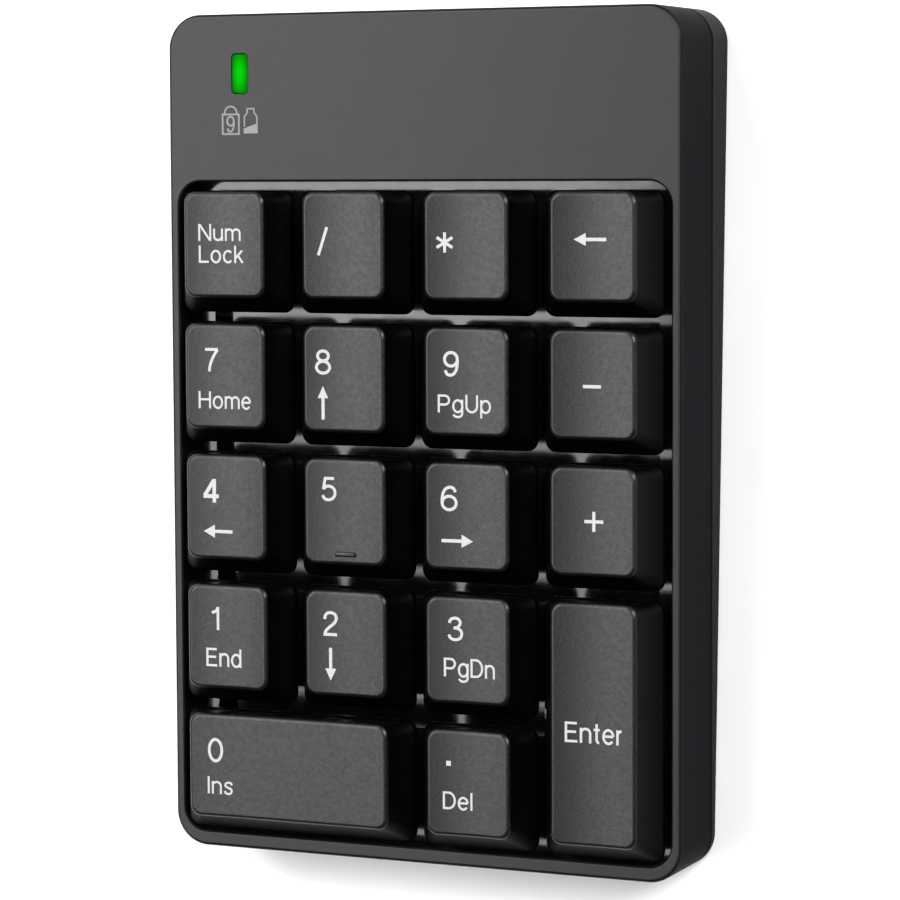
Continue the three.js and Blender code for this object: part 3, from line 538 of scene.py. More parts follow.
GLYPHS = {
    "N": (0.80, [[(0.06, 0), (0.06, 1)], [(0.09, 0.96), (0.71, 0.04)], [(0.74, 0), (0.74, 1)]]),
    "u": (0.62, [[(0.06, 0.73)] + arc(0.295, 0.27, 0.235, 0.22, 180, 350) , [(0.56, 0.73), (0.56, 0)]]),
    "m": (1.02, [[(0.06, 0), (0.06, 0.73)], [(0.06, 0.45)] + arc(0.275, 0.47, 0.215, 0.215, 170, 0) + [(0.49, 0)], [(0.49, 0.45)] + arc(0.725, 0.47, 0.235, 0.215, 170, 0) + [(0.96, 0)]]),
    "L": (0.62, [[(0.06, 1), (0.06, 0.06), (0.62, 0.06)]]),
    "o": (0.68, [oval(0.34, 0.365, 0.28, 0.33)]),
    "c": (0.62, [arc(0.335, 0.365, 0.275, 0.33, 42, 318, 22)]),
    "k": (0.60, [[(0.06, 0), (0.06, 1)], [(0.53, 0.72), (0.07, 0.27)], [(0.24, 0.43), (0.56, 0.01)]]),
    "H": (0.80, [[(0.06, 0), (0.06, 1)], [(0.74, 0), (0.74, 1)], [(0.06, 0.53), (0.74, 0.53)]]),
    "e": (0.66, [[(0.07, 0.385), (0.60, 0.385)], arc(0.335, 0.365, 0.275, 0.33, 4, 322, 24)]),
    "P": (0.72, [[(0.06, 0), (0.06, 1)], [(0.06, 0.94), (0.40, 0.94)] + arc(0.40, 0.69, 0.26, 0.25, 90, -90) + [(0.06, 0.44)]]),
    "g": (0.65, [oval(0.33, 0.365, 0.27, 0.33), [(0.59, 0.73), (0.59, -0.04)] + arc(0.325, -0.05, 0.265, 0.19, 0, -165)]),
    "U": (0.78, [[(0.07, 1), (0.07, 0.36)] + arc(0.39, 0.36, 0.32, 0.31, 180, 360) + [(0.71, 1)]]),
    "p": (0.66, [[(0.06, 0.73), (0.06, -0.28)], oval(0.33, 0.365, 0.27, 0.33)]),
    "E": (0.68, [[(0.64, 0.94), (0.06, 0.94), (0.06, 0.06), (0.67, 0.06)], [(0.06, 0.52), (0.60, 0.52)]]),
    "n": (0.62, [[(0.06, 0), (0.06, 0.73)], [(0.06, 0.43)] + arc(0.31, 0.46, 0.25, 0.23, 170, 0) + [(0.56, 0)]]),
    "d": (0.66, [[(0.60, 0), (0.60, 1)], oval(0.33, 0.365, 0.27, 0.33)]),
    "D": (0.78, [[(0.06, 0), (0.06, 1)], [(0.06, 0.94), (0.34, 0.94)] + arc(0.34, 0.5, 0.38, 0.44, 90, -90, 22) + [(0.06, 0.06)]]),
    "I": (0.14, [[(0.07, 0), (0.07, 1)]]),
    "s": (0.58, [curve((0.50, 0.55), (0.45, 0.66), (0.29, 0.69), (0.13, 0.63), (0.11, 0.49), (0.27, 0.39), (0.46, 0.31), (0.49, 0.16), (0.40, 0.06), (0.28, 0.04), (0.12, 0.08), (0.07, 0.20))]),
    "r": (0.36, [[(0.06, 0), (0.06, 0.73)], [(0.06, 0.38)] + arc(0.27, 0.42, 0.21, 0.26, 175, 85)]),
    "t": (0.36, [[(0.17, 0.95), (0.17, 0.18)] + arc(0.29, 0.18, 0.12, 0.13, 180, 280, 6) , [(0.01, 0.67), (0.34, 0.67)]]),
    "l": (0.12, [[(0.06, 0), (0.06, 1)]]),
    "0": (0.68, [oval(0.34, 0.5, 0.27, 0.45)]),
    "1": (0.42, [[(0.35, 0), (0.35, 1)], curve((0.04, 0.76), (0.18, 0.79), (0.29, 0.87), (0.34, 0.98))]),
    "2": (0.66, [curve((0.08, 0.68), (0.12, 0.85), (0.24, 0.94), (0.36, 0.95), (0.51, 0.90), (0.59, 0.76), (0.55, 0.60), (0.42, 0.46), (0.23, 0.31), (0.12, 0.18), (0.08, 0.06)), [(0.02, 0.06), (0.62, 0.06)]]),
    "3": (0.68, [curve((0.09, 0.74), (0.15, 0.88), (0.31, 0.95), (0.47, 0.91), (0.55, 0.78), (0.50, 0.63), (0.38, 0.55), (0.27, 0.54)), curve((0.27, 0.54), (0.44, 0.52), (0.57, 0.43), (0.61, 0.28), (0.53, 0.11), (0.34, 0.05), (0.16, 0.10), (0.07, 0.25))]),
    "4": (0.70, [[(0.48, 0), (0.48, 1)], [(0.47, 0.95), (0.07, 0.29)], [(0.03, 0.27), (0.67, 0.27)]]),
    "5": (0.68, [[(0.58, 0.94), (0.19, 0.94), (0.11, 0.48)], curve((0.11, 0.49), (0.21, 0.59), (0.35, 0.62), (0.52, 0.56), (0.61, 0.42), (0.61, 0.26), (0.52, 0.12), (0.35, 0.05), (0.17, 0.09), (0.07, 0.23))]),
    "6": (0.68, [oval(0.35, 0.32, 0.265, 0.27), curve((0.59, 0.76), (0.52, 0.90), (0.38, 0.95), (0.22, 0.88), (0.12, 0.70), (0.085, 0.48), (0.085, 0.32))]),
    "7": (0.66, [[(0.05, 0.94), (0.61, 0.94)], curve((0.60, 0.93), (0.47, 0.74), (0.34, 0.48), (0.26, 0.24), (0.23, 0.0))]),
    "8": (0.68, [oval(0.34, 0.755, 0.22, 0.20), oval(0.34, 0.295, 0.27, 0.24)]),
    "9": (0.68, [oval(0.33, 0.68, 0.265, 0.27), curve((0.09, 0.24), (0.16, 0.10), (0.30, 0.05), (0.46, 0.12), (0.56, 0.30), (0.595, 0.52), (0.595, 0.68))]),
}


def stroke(points, width, closed=False):
    """The outline of one stroke with flat ends, as a left and a right edge."""
    pts = [Vector((x, y)) for x, y in points]
    left, right = [], []
    n = len(pts)
    for i, p in enumerate(pts):
        a = pts[i - 1] if i or closed else None
        b = pts[(i + 1) % n] if i < n - 1 or closed else None
        d1 = (p - a).normalized() if a is not None and (p - a).length > 1e-9 else None
        d2 = (b - p).normalized() if b is not None and (b - p).length > 1e-9 else None
        d1, d2 = d1 or d2, d2 or d1
        t = (d1 + d2).normalized()
        nrm = Vector((-t.y, t.x))
        k = 1.0 / max(0.5, nrm.dot(Vector((-d1.y, d1.x))))
        left.append(p + nrm * width / 2 * k)
        right.append(p - nrm * width / 2 * k)
    return left, right


def stroke_solid(points, width, z0, z1, sx=1.0, sy=1.0, ox=0.0, oy=0.0):
    closed = (Vector(points[0]) - Vector(points[-1])).length < 1e-6
    pts = [(x * sx + ox, y * sy + oy) for x, y in (points[:-1] if closed else points)]
    left, right = stroke(pts, width, closed)
    n = len(left)
    verts = [(p.x, p.y, z) for z in (z0, z1) for p in left] + [(p.x, p.y, z) for z in (z0, z1) for p in right]
    L0, L1, R0, R1 = 0, n, 2 * n, 3 * n
    faces = []
    for i in range(n if closed else n - 1):
        j = (i + 1) % n
        faces += [(L1 + i, R1 + i, R1 + j, L1 + j), (L0 + j, R0 + j, R0 + i, L0 + i), (L0 + i, L1 + i, L1 + j, L0 + j), (R0 + j, R1 + j, R1 + i, R0 + i)]
    if not closed:
        faces += [(L0, R0, R1, L1), (L0 + n - 1, L1 + n - 1, R1 + n - 1, R0 + n - 1)]
    return mesh_of("stroke", verts, faces)


def word(text, u0, u1, v0, v1, weight=0.122, gap=0.125):
    """Strokes of a word whose capitals fill the box."""
    total = sum(GLYPHS[c][0] for c in text) + gap * (len(text) - 1)
    low = -0.28 if any(c in "gp" for c in text) else 0.0
    sy = (v1 - v0) / (1.0 - low)
    sx = (u1 - u0) / total
    w = weight * sy
    x, out = 0.0, []
    for c in text:
        for s in GLYPHS[c][1]:
            out.append(stroke_solid(s, w, -0.10, 0.0, sx, sy, u0 + x * sx, v0 - low * sy))
        x += GLYPHS[c][0] + gap
    return out


def polygon_solid(pts, z0=-0.10, z1=0.0):
    return prism(pts, z0, z1, "poly")


def arrow(u0, u1, v0, v1, way):
    """An arrow that fills the box, pointing way."""
    cu, cv = (u0 + u1) / 2, (v0 + v1) / 2
    out = []
    if way in ("left", "right"):
        s = 1 if way == "right" else -1
        tip = u1 if s > 0 else u0
        tail = u0 if s > 0 else u1
        hl, hh = 1.75, (v1 - v0) / 2
        pts = [(tip, cv), (tip - s * hl, cv + hh), (tip - s * hl, cv - hh)]
        out.append(polygon_solid(pts if s < 0 else pts))
        out.append(box(min(tail, tip - s * hl * 0.9), max(tail, tip - s * hl * 0.9), cv - 0.24, cv + 0.24, -0.10, 0.0))
    else:
        s = 1 if way == "up" else -1
        tip = v1 if s > 0 else v0
        tail = v0 if s > 0 else v1
        hl, hh = 1.75, (u1 - u0) / 2
        out.append(polygon_solid([(cu, tip), (cu - s * hh, tip - s * hl), (cu + s * hh, tip - s * hl)]))
        out.append(box(cu - 0.24, cu + 0.24, min(tail, tip - s * hl * 0.9), max(tail, tip - s * hl * 0.9), -0.10, 0.0))
    return out


def outward(ob):
    """Turns a closed mesh's faces outwards."""
    bm = bmesh.new()
    bm.from_mesh(ob.data)
    bmesh.ops.recalc_face_normals(bm, faces=bm.faces)
    if bm.calc_volume(signed=True) < 0:
        bmesh.ops.reverse_faces(bm, faces=bm.faces)
    bm.to_mesh(ob.data)
    bm.free()
    return ob


def union_all(name, parts):
    base = outward(parts[0])
    for p in parts[1:]:
        csg(base, "+", outward(p))
    base.name = name
    base.data.name = name
    return base


# ------------------------------------------------------------------ keys
KEYS = {}
for _name, _col, _row, _wide, _tall in (
    ("key_num_lock", 0, 0, 1, 1), ("key_divide", 1, 0, 1, 1), ("key_multiply", 2, 0, 1, 1), ("key_backspace", 3, 0, 1, 1),
    ("key_7", 0, 1, 1, 1), ("key_8", 1, 1, 1, 1), ("key_9", 2, 1, 1, 1), ("key_minus", 3, 1, 1, 1),
    ("key_4", 0, 2, 1, 1), ("key_5", 1, 2, 1, 1), ("key_6", 2, 2, 1, 1), ("key_plus", 3, 2, 1, 1),
    ("key_1", 0, 3, 1, 1), ("key_2", 1, 3, 1, 1), ("key_3", 2, 3, 1, 1), ("key_enter", 3, 3, 1, 2),
    ("key_0", 0, 4, 2, 1), ("key_decimal", 2, 4, 1, 1),
):
    KEYS[_name] = ((_col - 1.5 + (_wide - 1) / 2) * PITCH, (2 - _row - (_tall - 1) / 2) * PITCH, _wide, _tall)


def dish(u, wide):
    """How far the top face lies below its rim at u from the key's middle."""
    if wide > 1:
        h = TOP_U + PITCH / 2
        edge = max(0.0, 1 - (abs(u) / h) ** 4)
        return 0.36 * edge
    return DISH * max(0.0, 1 - (u / (TOP_U + 0.02)) ** 2)


def top_height(u, v, wide):
    return Z1 - dish(u, wide)


def keycap(name):
    u, v, wide, tall = KEYS[name]
    eu, ev = (wide - 1) * PITCH / 2, (tall - 1) * PITCH / 2
    nx, ny = (13 if wide == 1 else 31), (15 if tall == 1 else 35)
    nc = 7

    def ring(hu, hv, cy, r, z, follow=0.0):
        pts = rring(0, cy, hu, hv, r, nc, nx, ny)
        out = []
        for x, y in pts:
            zz = z - follow * dish(x * (TOP_U + eu) / max(hu, TOP_U + eu), wide)
            out.append([x, y, zz])
        return out

    rings = []
    # the inside, from the roof down, then the lip and the outside up to the rim and in to the middle of the dish
    wall = 1.15
    rings.append(ring(TOP_U - 1.15 + eu, TOP_V - 1.15 + ev, SHIFT, 0.8, Z1 - 1.55))
    rings.append(ring(TOP_U - 1.0 + eu, TOP_V - 1.0 + ev, SHIFT, 0.9, Z1 - 1.7))
    rings.append(ring(KEY_B - wall - 0.3 + eu, KEY_B - wall - 0.3 + ev, 0, 1.0, 0.8))
    rings.append(ring(KEY_B - wall + eu, KEY_B - wall + ev, 0, 1.0, Z0 + 0.05))
    rings.append(ring(KEY_B - wall + 0.1 + eu, KEY_B - wall + 0.1 + ev, 0, 1.05, Z0))
    rings.append(ring(KEY_B - 0.16 + eu, KEY_B - 0.16 + ev, 0, 1.5, Z0))
    rings.append(ring(KEY_B - 0.04 + eu, KEY_B - 0.04 + ev, 0, 1.6, Z0 + 0.05))
    rings.append(ring(KEY_B + eu, KEY_B + ev, 0, 1.65, Z0 + 0.16))
    rings.append(ring(KEY_B - 0.03 + eu, KEY_B - 0.03 + ev, 0, 1.65, Z0 + 0.80))
    rings.append(ring(KEY_B - 0.10 + eu, KEY_B - 0.10 + ev, 0.02, 1.65, Z0 + 0.97))
    b0, b1 = (KEY_B - 0.28, 0.72), (None, 4.42)
    hu1, hv1 = TOP_U + 0.40, TOP_V + 0.40
    for k in range(0, 8):
        f = k / 7
        sag = 0.16 * math.sin(math.pi * f)  # the skirt's faces are a little hollow
        hu = (KEY_B - 0.28) * (1 - f) + hu1 * f - sag
        hv = (KEY_B - 0.28) * (1 - f) + hv1 * f - sag
        z = 0.72 * (1 - f) + 4.42 * f
        rings.append(ring(hu + eu, hv + ev, SHIFT * (0.03 + 0.97 * f), 1.65 + 0.1 * f, z, follow=max(0.0, (f - 0.45) / 0.55) ** 2))
    # rounded rim
    rr = 0.74
    for k in range(1, 7):
        a = math.radians(20 + 70 * k / 6)
        inset = rr * (math.cos(math.radians(20)) - math.cos(a))
        z = 4.42 + (Z1 - 4.42) * (math.sin(a) - math.sin(math.radians(20))) / (1 - math.sin(math.radians(20)))
        rings.append(ring(hu1 - inset + eu, hv1 - inset + ev, SHIFT, 1.72 - inset * 0.5, z, follow=1.0))
    for inset in (0.82, 1.0, 1.25, 1.6, 2.3, 3.1, 4.0, 5.0, 5.9):
        hu, hv = TOP_U + 0.40 - inset + eu, TOP_V + 0.40 - inset + ev
        if hu < 0.25 or hv < 0.25:
            break
        rings.append(ring(hu, hv, SHIFT, max(0.12, 1.45 - inset * 0.42), Z1, follow=1.0))
    # notch in the middle of the rear skirt
    for ring_ in rings[3:11]:
        for p in ring_:
            if p[1] > KEY_B + ev - wall - 0.5 and p[2] < 0.9:
                k = 1 - max(0.0, min(1.0, (abs(p[0]) - 0.95) / 0.35))
                if k > 0:
                    p[2] = max(p[2], Z0 + 0.62 * k + 0.05 * (p[2] - Z0))
    cap = loft(name + "_cap", rings)
    stem = csg(
        box(-3.1, 3.1, -2.6, 2.6, -6.95, Z1 - 1.3, 0.35),
        "-",
        box(-1.9, 1.9, -1.4, 1.4, -8, 3.0, 0.3),
    )
    csg(stem, "+", box(-3.45, -1.95, -1.2, 1.2, -6.85, -6.0), box(1.95, 3.45, -1.2, 1.2, -6.85, -6.0))
    extras = [stem]
    if wide > 1 or tall > 1:
        for x in (-9, 9):
            clip = csg(box(x - 0.8, x + 0.8, -7.0, -4.05, -1.0, 3.1), "-", box(x - 1, x + 1, -6.85, -4.72, -0.5, 0.8), box(x - 1, x + 1, -6.15, -5.4, -1.1, -0.4))
            if tall > 1:
                transform(clip, Matrix.Rotation(math.pi / 2, 4, "Z"))
            post = box(x - 0.8, x + 0.8, -5.2, -4.05, 2.9, Z1 - 1.3)
            if tall > 1:
                transform(post, Matrix.Rotation(math.pi / 2, 4, "Z"))
            extras += [clip, post]
    for e in extras:
        csg(cap, "+", e)
    if name == "key_5":
        # homing bar: a half-round ridge with round ends
        r = 0.36
        rows = []
        n = 10
        for i in range(n + 1):
            t = math.pi * i / n
            rows.append((math.cos(t) * r, math.sin(t) * r))
        pts = []
        for i in range(25):
            f = i / 24
            x = -1.75 + 3.5 * f
            e = min(1.0, math.sqrt(max(0.0, 1 - max(0.0, (abs(x) - 1.75 + r) / r) ** 2)) + 0.02)
            pts.append([(x, -5.08 + a * e, 4.60 + b * e * 0.58) for a, b in rows] + [(x, -5.08 - r * e, 4.3), (x, -5.08 + r * e, 4.3)])
        csg(cap, "+", outward(loft("bar", pts)))
    return transform(cap, Matrix.Translation((u, v, 0)))


def legend(name, parts):
    """Print on a key: thin solids that follow the dish."""
    u, v, wide, tall = KEYS[name]
    ob = union_all(name + "_legend", parts)
    bm = bmesh.new()
    bm.from_mesh(ob.data)
    bmesh.ops.triangulate(bm, faces=bm.faces)
    for _ in range(2):
        long = [e for e in bm.edges if e.calc_length() > 0.9]
        if not long:
            break
        bmesh.ops.subdivide_edges(bm, edges=long, cuts=1)
        bmesh.ops.triangulate(bm, faces=bm.faces)
    for p in bm.verts:
        p.co.z += top_height(p.co.x - u, p.co.y - v, wide) + 0.012
    bm.to_mesh(ob.data)
    bm.free()
    return ob


LEGENDS = {
    "key_num_lock": lambda: word("Num", -32.72, -25.9, 39.72, 42.16) + word("Lock", -32.67, -25.5, 36.54, 39.05),
    "key_divide": lambda: [stroke_solid([(-13.42, 37.75), (-12.1, 41.75)], 0.42, -0.1, 0)],
    "key_multiply": lambda: [stroke_solid([(6.27 - 1.35 * math.cos(math.radians(a)), 39.67 - 1.42 * math.sin(math.radians(a))), (6.27 + 1.35 * math.cos(math.radians(a)), 39.67 + 1.42 * math.sin(math.radians(a)))], 0.42, -0.1, 0) for a in (90, 30, 150)],
    "key_backspace": lambda: arrow(25.75, 30.56, 39.29, 41.08, "left"),
    "key_7": lambda: word("7", -32.04, -29.65, 20.8, 24.2) + word("Home", -32.93, -24.44, 15.4, 17.9),
    "key_8": lambda: word("8", -14.10, -11.55, 20.72, 24.25) + arrow(-13.67, -12.08, 14.26, 19.07, "up"),
    "key_9": lambda: word("9", 5.95, 8.41, 20.85, 24.40) + word("PgUp", 5.15, 13.28, 15.04, 18.28),
    "key_minus": lambda: [stroke_solid([(27.07, 19.86), (29.74, 19.86)], 0.46, -0.1, 0)],
    "key_4": lambda: word("4", -32.43, -29.80, 1.67, 5.11, weight=0.165) + arrow(-32.34, -27.74, -3.49, -1.59, "left"),
    "key_5": lambda: word("5", -13.30, -10.91, 2.56, 6.02),
    "key_6": lambda: word("6", 5.39, 8.09, 1.81, 5.36) + arrow(5.60, 10.38, -3.35, -1.49, "right"),
    "key_plus": lambda: [stroke_solid([(27.25, 1.09), (30.08, 1.09)], 0.46, -0.1, 0), stroke_solid([(28.66, -0.31), (28.66, 2.48)], 0.46, -0.1, 0)],
    "key_1": lambda: word("1", -31.33, -30.02, -17.03, -13.65) + word("End", -32.14, -26.47, -22.41, -19.70),
    "key_2": lambda: word("2", -13.15, -10.83, -16.95, -13.40) + arrow(-12.85, -11.15, -23.43, -18.69, "down"),
    "key_3": lambda: word("3", 6.38, 8.85, -16.65, -13.23) + word("PgDn", 5.88, 13.74, -22.53, -19.10),
    "key_0": lambda: word("0", -32.06, -29.5, -36.54, -33.0) + word("Ins", -32.12, -27.99, -41.24, -38.68),
    "key_decimal": lambda: [box(6.15, 6.85, -34.58, -33.88, -0.1, 0)] + word("Del", 5.63, 10.13, -40.85, -38.3),
    "key_enter": lambda: word("Enter", 24.35, 33.03, -30.0, -27.1),
}

for _name in KEYS:
    cap = keycap(_name)
    cap.name = "cap_" + _name[4:]
    shade(cap, angle=32)
    done(cap, M["key"], _name, [_name])
    cap.data.materials.append(M["key_side"])  # the skirts get a near-black copy of the key plastic (painted shade) and the rear faces a darker, glossier copy (painted highlight)
    cap.data.materials.append(M["key_rear"])
    _u, _v, _wide, _tall = KEYS[_name]
    # painted light: faces are sorted by the way they face into the lit top copy, the glossier rear copy (painted
    # highlight) and the near-black skirt copy (painted shade)
    for p in cap.data.polygons:
        q = TO_DECK @ p.center
        rim = q.z + dish(q.x - _u, _wide) > 4.50 and p.normal.z > 0.25
        p.material_index = 0 if rim else 2 if p.normal.y > 0.97 else 1
    ink = legend(_name, LEGENDS[_name]())
    ink.name = "legend_" + _name[4:]
    shade(ink, angle=40, tidy=False)
    done(ink, M["ink"], _name)


# ------------------------------------------------------------------ top cover
def case_ring(inset, n=18):
    return rring(0, (CASE_V0 + CASE_V1) / 2, CASE_HX - inset, (CASE_V1 - CASE_V0) / 2 - inset, CASE_R - inset, n)


def top_cover():
    rows = [(case_ring(0.9), SEAM_W), (case_ring(0.9), SEAM_W + 0.34), (case_ring(0.05), SEAM_W + 0.36), (case_ring(0.0), SEAM_W + 0.44)]
    r = 0.60
    for k in range(8):
        a = math.radians(90 * k / 7)
        rows.append((case_ring(r * (1 - math.cos(a))), -r + r * math.sin(a)))
    shell = loft("top_shell", levels(rows))
    mid, half = (-49.0 + 71.3) / 2, (71.3 + 49.0) / 2
    csg(shell, "-", prism(rring(0, mid, 38.75, half, 3.8, 10), SEAM_W - 1, -4.5))
    csg(shell, "-", prism(rring(0, (49.4 + 71.3) / 2, 38.4, (71.3 - 49.4) / 2, 2.0, 6), SEAM_W - 1, -2.0))
    wc, wh = (WELL_V0 + WELL_V1) / 2, (WELL_V1 - WELL_V0) / 2
    r = 0.42
    rows = [(rring(0, wc, WELL_HX, wh, WELL_R, 16), SEAM_W - 1)]
    for k in range(6):
        a = math.radians(90 * k / 5)
        g = r * (1 - math.cos(a))
        rows.append((rring(0, wc, WELL_HX + g, wh + g, WELL_R + g, 16), -r + r * math.sin(a)))
    rows.append((rring(0, wc, WELL_HX + r, wh + r, WELL_R + r, 16), 1.0))
    csg(shell, "-", loft("well", levels(rows)))
    x, y = -28.2, 63.86
    rows = [(rring(x, y, 1.26, 2.83, 0.55, 8), -3), (rring(x, y, 1.26, 2.83, 0.55, 8), -0.12), (rring(x, y, 1.38, 2.95, 0.67, 8), 0.0), (rring(x, y, 1.38, 2.95, 0.67, 8), 1)]
    csg(shell, "-", loft("lens_hole", levels(rows)))
    for x, y in ((-35.3, 68.3), (36.1, 60.5)):
        csg(shell, "+", cyl(x, y, SEAM_W + 0.1, -1.9, 2.25))
        csg(shell, "-", cyl(x, y, SEAM_W - 1, -7.5, 1.1))
    return shell


cover = top_cover()
cover.name = "top_cover_shell"
shade(cover, angle=24)
done(cover, M["case"], "case", ["top_cover"])
trim(cover)
cover.data.materials.append(M["case_side"])
cover.data.materials.append(M["case_rim"])  # the walls and the roundings get darker, duller copies of the case plastic: painted shade
# painted shade: faces are sorted by facing, so the walls and roundings take the darker copies
for p in cover.data.polygons:
    p.material_index = 0 if p.normal.z > 0.93 else 2 if p.normal.z > 0.30 else 1

# header symbols: a padlock with a 9 and a battery
W = 0.0
sym = []
sym += [stroke_solid([(-31.05, 54.1), (-28.4, 54.1), (-28.4, 57.15), (-31.05, 57.15), (-31.05, 54.1)], 0.26, -0.05, W)]
sym += [stroke_solid([(-30.72, 57.1)] + arc(-29.72, 57.25, 1.0, 1.15, 180, 0, 18) + [(-28.72, 57.1)], 0.26, -0.05, W)]
sym += [stroke_solid([(x * 2.05 - 30.43, y * 2.6 + 54.33) for x, y in s], 0.29, -0.05, W) for s in GLYPHS["9"][1]]
lock = union_all("symbol_lock", sym)
bat = [stroke_solid([(-27.5, 55.2), (-27.5, 56.75), (-27.02, 57.35), (-27.02, 57.95), (-25.93, 57.95), (-25.93, 57.35), (-25.45, 56.75), (-25.45, 54.85)], 0.22, -0.05, W)]
bat += [polygon_solid([(-27.61, 54.2), (-25.34, 54.2), (-25.34, 55.75), (-27.61, 54.95)], -0.05, W)]
battery_sign = union_all("symbol_battery", bat)
for o, (low, bottom, high) in ((lock, (53.97, 55.02, 4.24 / 4.56)), (battery_sign, (54.20, 55.21, 3.67 / 3.86))):
    for p in o.data.vertices:
        p.co.y = bottom + (p.co.y - low) * high
        p.co.z += 0.012
    shade(o, angle=40, tidy=False)
    done(o, M["grey_ink"], "case")


# ------------------------------------------------------------------ lower cover
DECK_SCREWS = [(-PITCH, 1.5 * PITCH), (PITCH, 1.5 * PITCH), (-PITCH, -1.5 * PITCH), (PITCH, -1.5 * PITCH)]
HEADER_SCREWS = [(-35.3, 68.3), (36.1, 60.5)]
SEAT = -13.7
FEET = {"foot_front_left": (-30, -43.5), "foot_front_right": (30, -43.5), "foot_rear_left": (-30, 42.5), "foot_rear_right": (30, 42.5)}


def to_floor(points, h):
    """Where the deck-normal wall through these points meets the plane h above the floor's outer face, in the deck frame."""
    return [(x, y, FLOOR_W + (h - y * S) / C) for x, y in points]


def on_floor(ob):
    return transform(ob, F2D)


def lower_cover():
    rows = [[(x, y, SEAM_W - d) for x, y in case_ring(g)] for g, d in ((0.9, 0), (0.9, 0.34), (0.05, 0.36), (0, 0.44))]
    rows.append(to_floor(case_ring(0), 0.45))
    for k in range(1, 8):
        a = math.radians(90 * k / 7)
        rows.append(to_floor(case_ring(0.45 * (1 - math.cos(a))), 0.45 * (1 - math.sin(a))))
    shell = outward(loft("lower_shell", rows))
    mid, half = (-48.7 + 71.0) / 2, (71.0 + 48.7) / 2
    cavity_ring = rring(0, mid, 38.45, half, 3.5, 10)
    csg(shell, "-", outward(loft("cavity", [[(x, y, SEAM_W + 1) for x, y in cavity_ring], to_floor(cavity_ring, 1.6)])))
    lc, lh = (-48.85 + 71.15) / 2, (71.15 + 48.85) / 2
    tongue = csg(prism(rring(0, lc, 38.6, lh, 3.65, 10), -13.4, -11.4), "-", prism(rring(0, lc, 37.85, lh - 0.75, 2.9, 10), -14, -11))
    csg(shell, "+", tongue)
    for x, y in HEADER_SCREWS:
        csg(shell, "-", cyl(x, y, SEAM_W, -11, 2.6))
    csg(shell, "+", box(-18.4, 33.5, 48.4, 71.15, -17.5, -6.15, 0.8))
    csg(shell, "-", box(-17.4, 32.5, 49.3, 70.2, -17.6, -7.0, 0.6))
    opening = rring(7.55, 59.75, 24.55, 10.25, 1.0, 6)
    csg(shell, "-", on_floor(loft("opening", levels([(rring(7.55, 59.75, 24.7, 10.4, 1.1, 6), -1.0), (rring(7.55, 59.75, 24.7, 10.4, 1.1, 6), 0.0), (opening, 0.15), (opening, 4.0)]))))
    for u in (-5, 20):
        csg(shell, "-", on_floor(box(u - 2.9, u + 2.9, 48.2, 50, 1.6, 3.5)))
    csg(shell, "-", on_floor(box(3.2, 11.8, 69.5, 71.0, -1, 1.7, 0.4)))
    for x, y in DECK_SCREWS + HEADER_SCREWS:
        top = -12.7 if (x, y) in DECK_SCREWS else SEAM_W - 0.05
        # plain counterbore with a small lead-in at the outer face
        deep = FLOOR_W + (0 - y * S) / C
        csg(shell, "+", cyl(x, y, deep + 0.25, top, 3.05))
        csg(shell, "-", loft("bore", [[(x + r * math.cos(2 * math.pi * i / 40), y + r * math.sin(2 * math.pi * i / 40), z) for i in range(40)] for r, z in ((2.6, deep - 0.45), (2.05, deep + 0.12), (2.05, SEAT))]))
        csg(shell, "-", cyl(x, y, SEAT - 1, top + 1, 1.15))
    # power slider: a window in a shallow dished recess
    csg(shell, "-", on_floor(loft("recess", levels([(rring(-29, 62, 4.9, 3.6, 1.2, 8), -0.6), (rring(-29, 62, 4.5, 3.2, 1.0, 8), 0.0), (rring(-29, 62, 4.3, 3.0, 0.9, 8), 0.5)]))))
    csg(shell, "-", on_floor(box(-31.9, -26.1, 60.0, 64.0, -1, 3, 0.3)))
    for x, y in FEET.values():
        csg(shell, "-", on_floor(prism(rring(x, y, 7.2, 2.7, 2.5, 10), -1, 0.4)))
    return shell


lower = lower_cover()
lower.name = "lower_cover_shell"
shade(lower, angle=24)
done(lower, M["lower"], "case", ["bottom_cover"])
trim(lower)

# marks moulded beside the power slider: a bar for on and a ring for off
marks = [box(-26.3, -26.0, 57.0, 58.4, -0.06, 0.2), stroke_solid(oval(-32.6, 57.7, 0.62, 0.62), 0.26, -0.06, 0.2)]
for i, mk in enumerate(marks):
    mk.name = ["mark_on", "mark_off"][i]
    on_floor(outward(mk))
    shade(mk, angle=30, tidy=False)
    done(mk, M["lower"], "case")


# ------------------------------------------------------------------ battery door
def battery_door():
    c, h = (7.55, 59.75), (24.3, 10.0)
    rows = [(rring(*c, h[0] - 0.28, h[1] - 0.28, 0.6, 8), 0.05), (rring(*c, h[0] - 0.08, h[1] - 0.08, 0.75, 8), 0.13), (rring(*c, h[0], h[1], 0.8, 8), 0.33), (rring(*c, h[0], h[1], 0.8, 8), 1.25)]
    door = loft("door", levels(rows))
    for u in (-5, 20):
        csg(door, "+", box(u - 2.5, u + 2.5, 49.75, 50.65, 1.1, 2.5), box(u - 2.5, u + 2.5, 48.9, 50.65, 1.75, 2.5))
    csg(door, "+", box(3.7, 11.3, 69.25, 70.6, 0.05, 1.25, 0.4))
    # finger grooves and an arrowhead that shows the way it opens
    for b in (64.2, 65.4, 66.6, 67.8):
        half = 6.2 - 0.75 * abs(b - 66.0)
        groove = tube("groove", [(7.5 - half, b, -0.12), (7.5 + half, b, -0.12)], 0.45, 20)
        csg(door, "-", outward(groove))
    csg(door, "-", outward(polygon_solid([(7.5, 59.4), (9.6, 62.6), (5.4, 62.6)], -0.2, 0.45)))
    return on_floor(outward(door))


door = battery_door()
door.name = "battery_door_panel"
shade(door, angle=26)
done(door, M["door"], "battery_door", ["battery_door"])

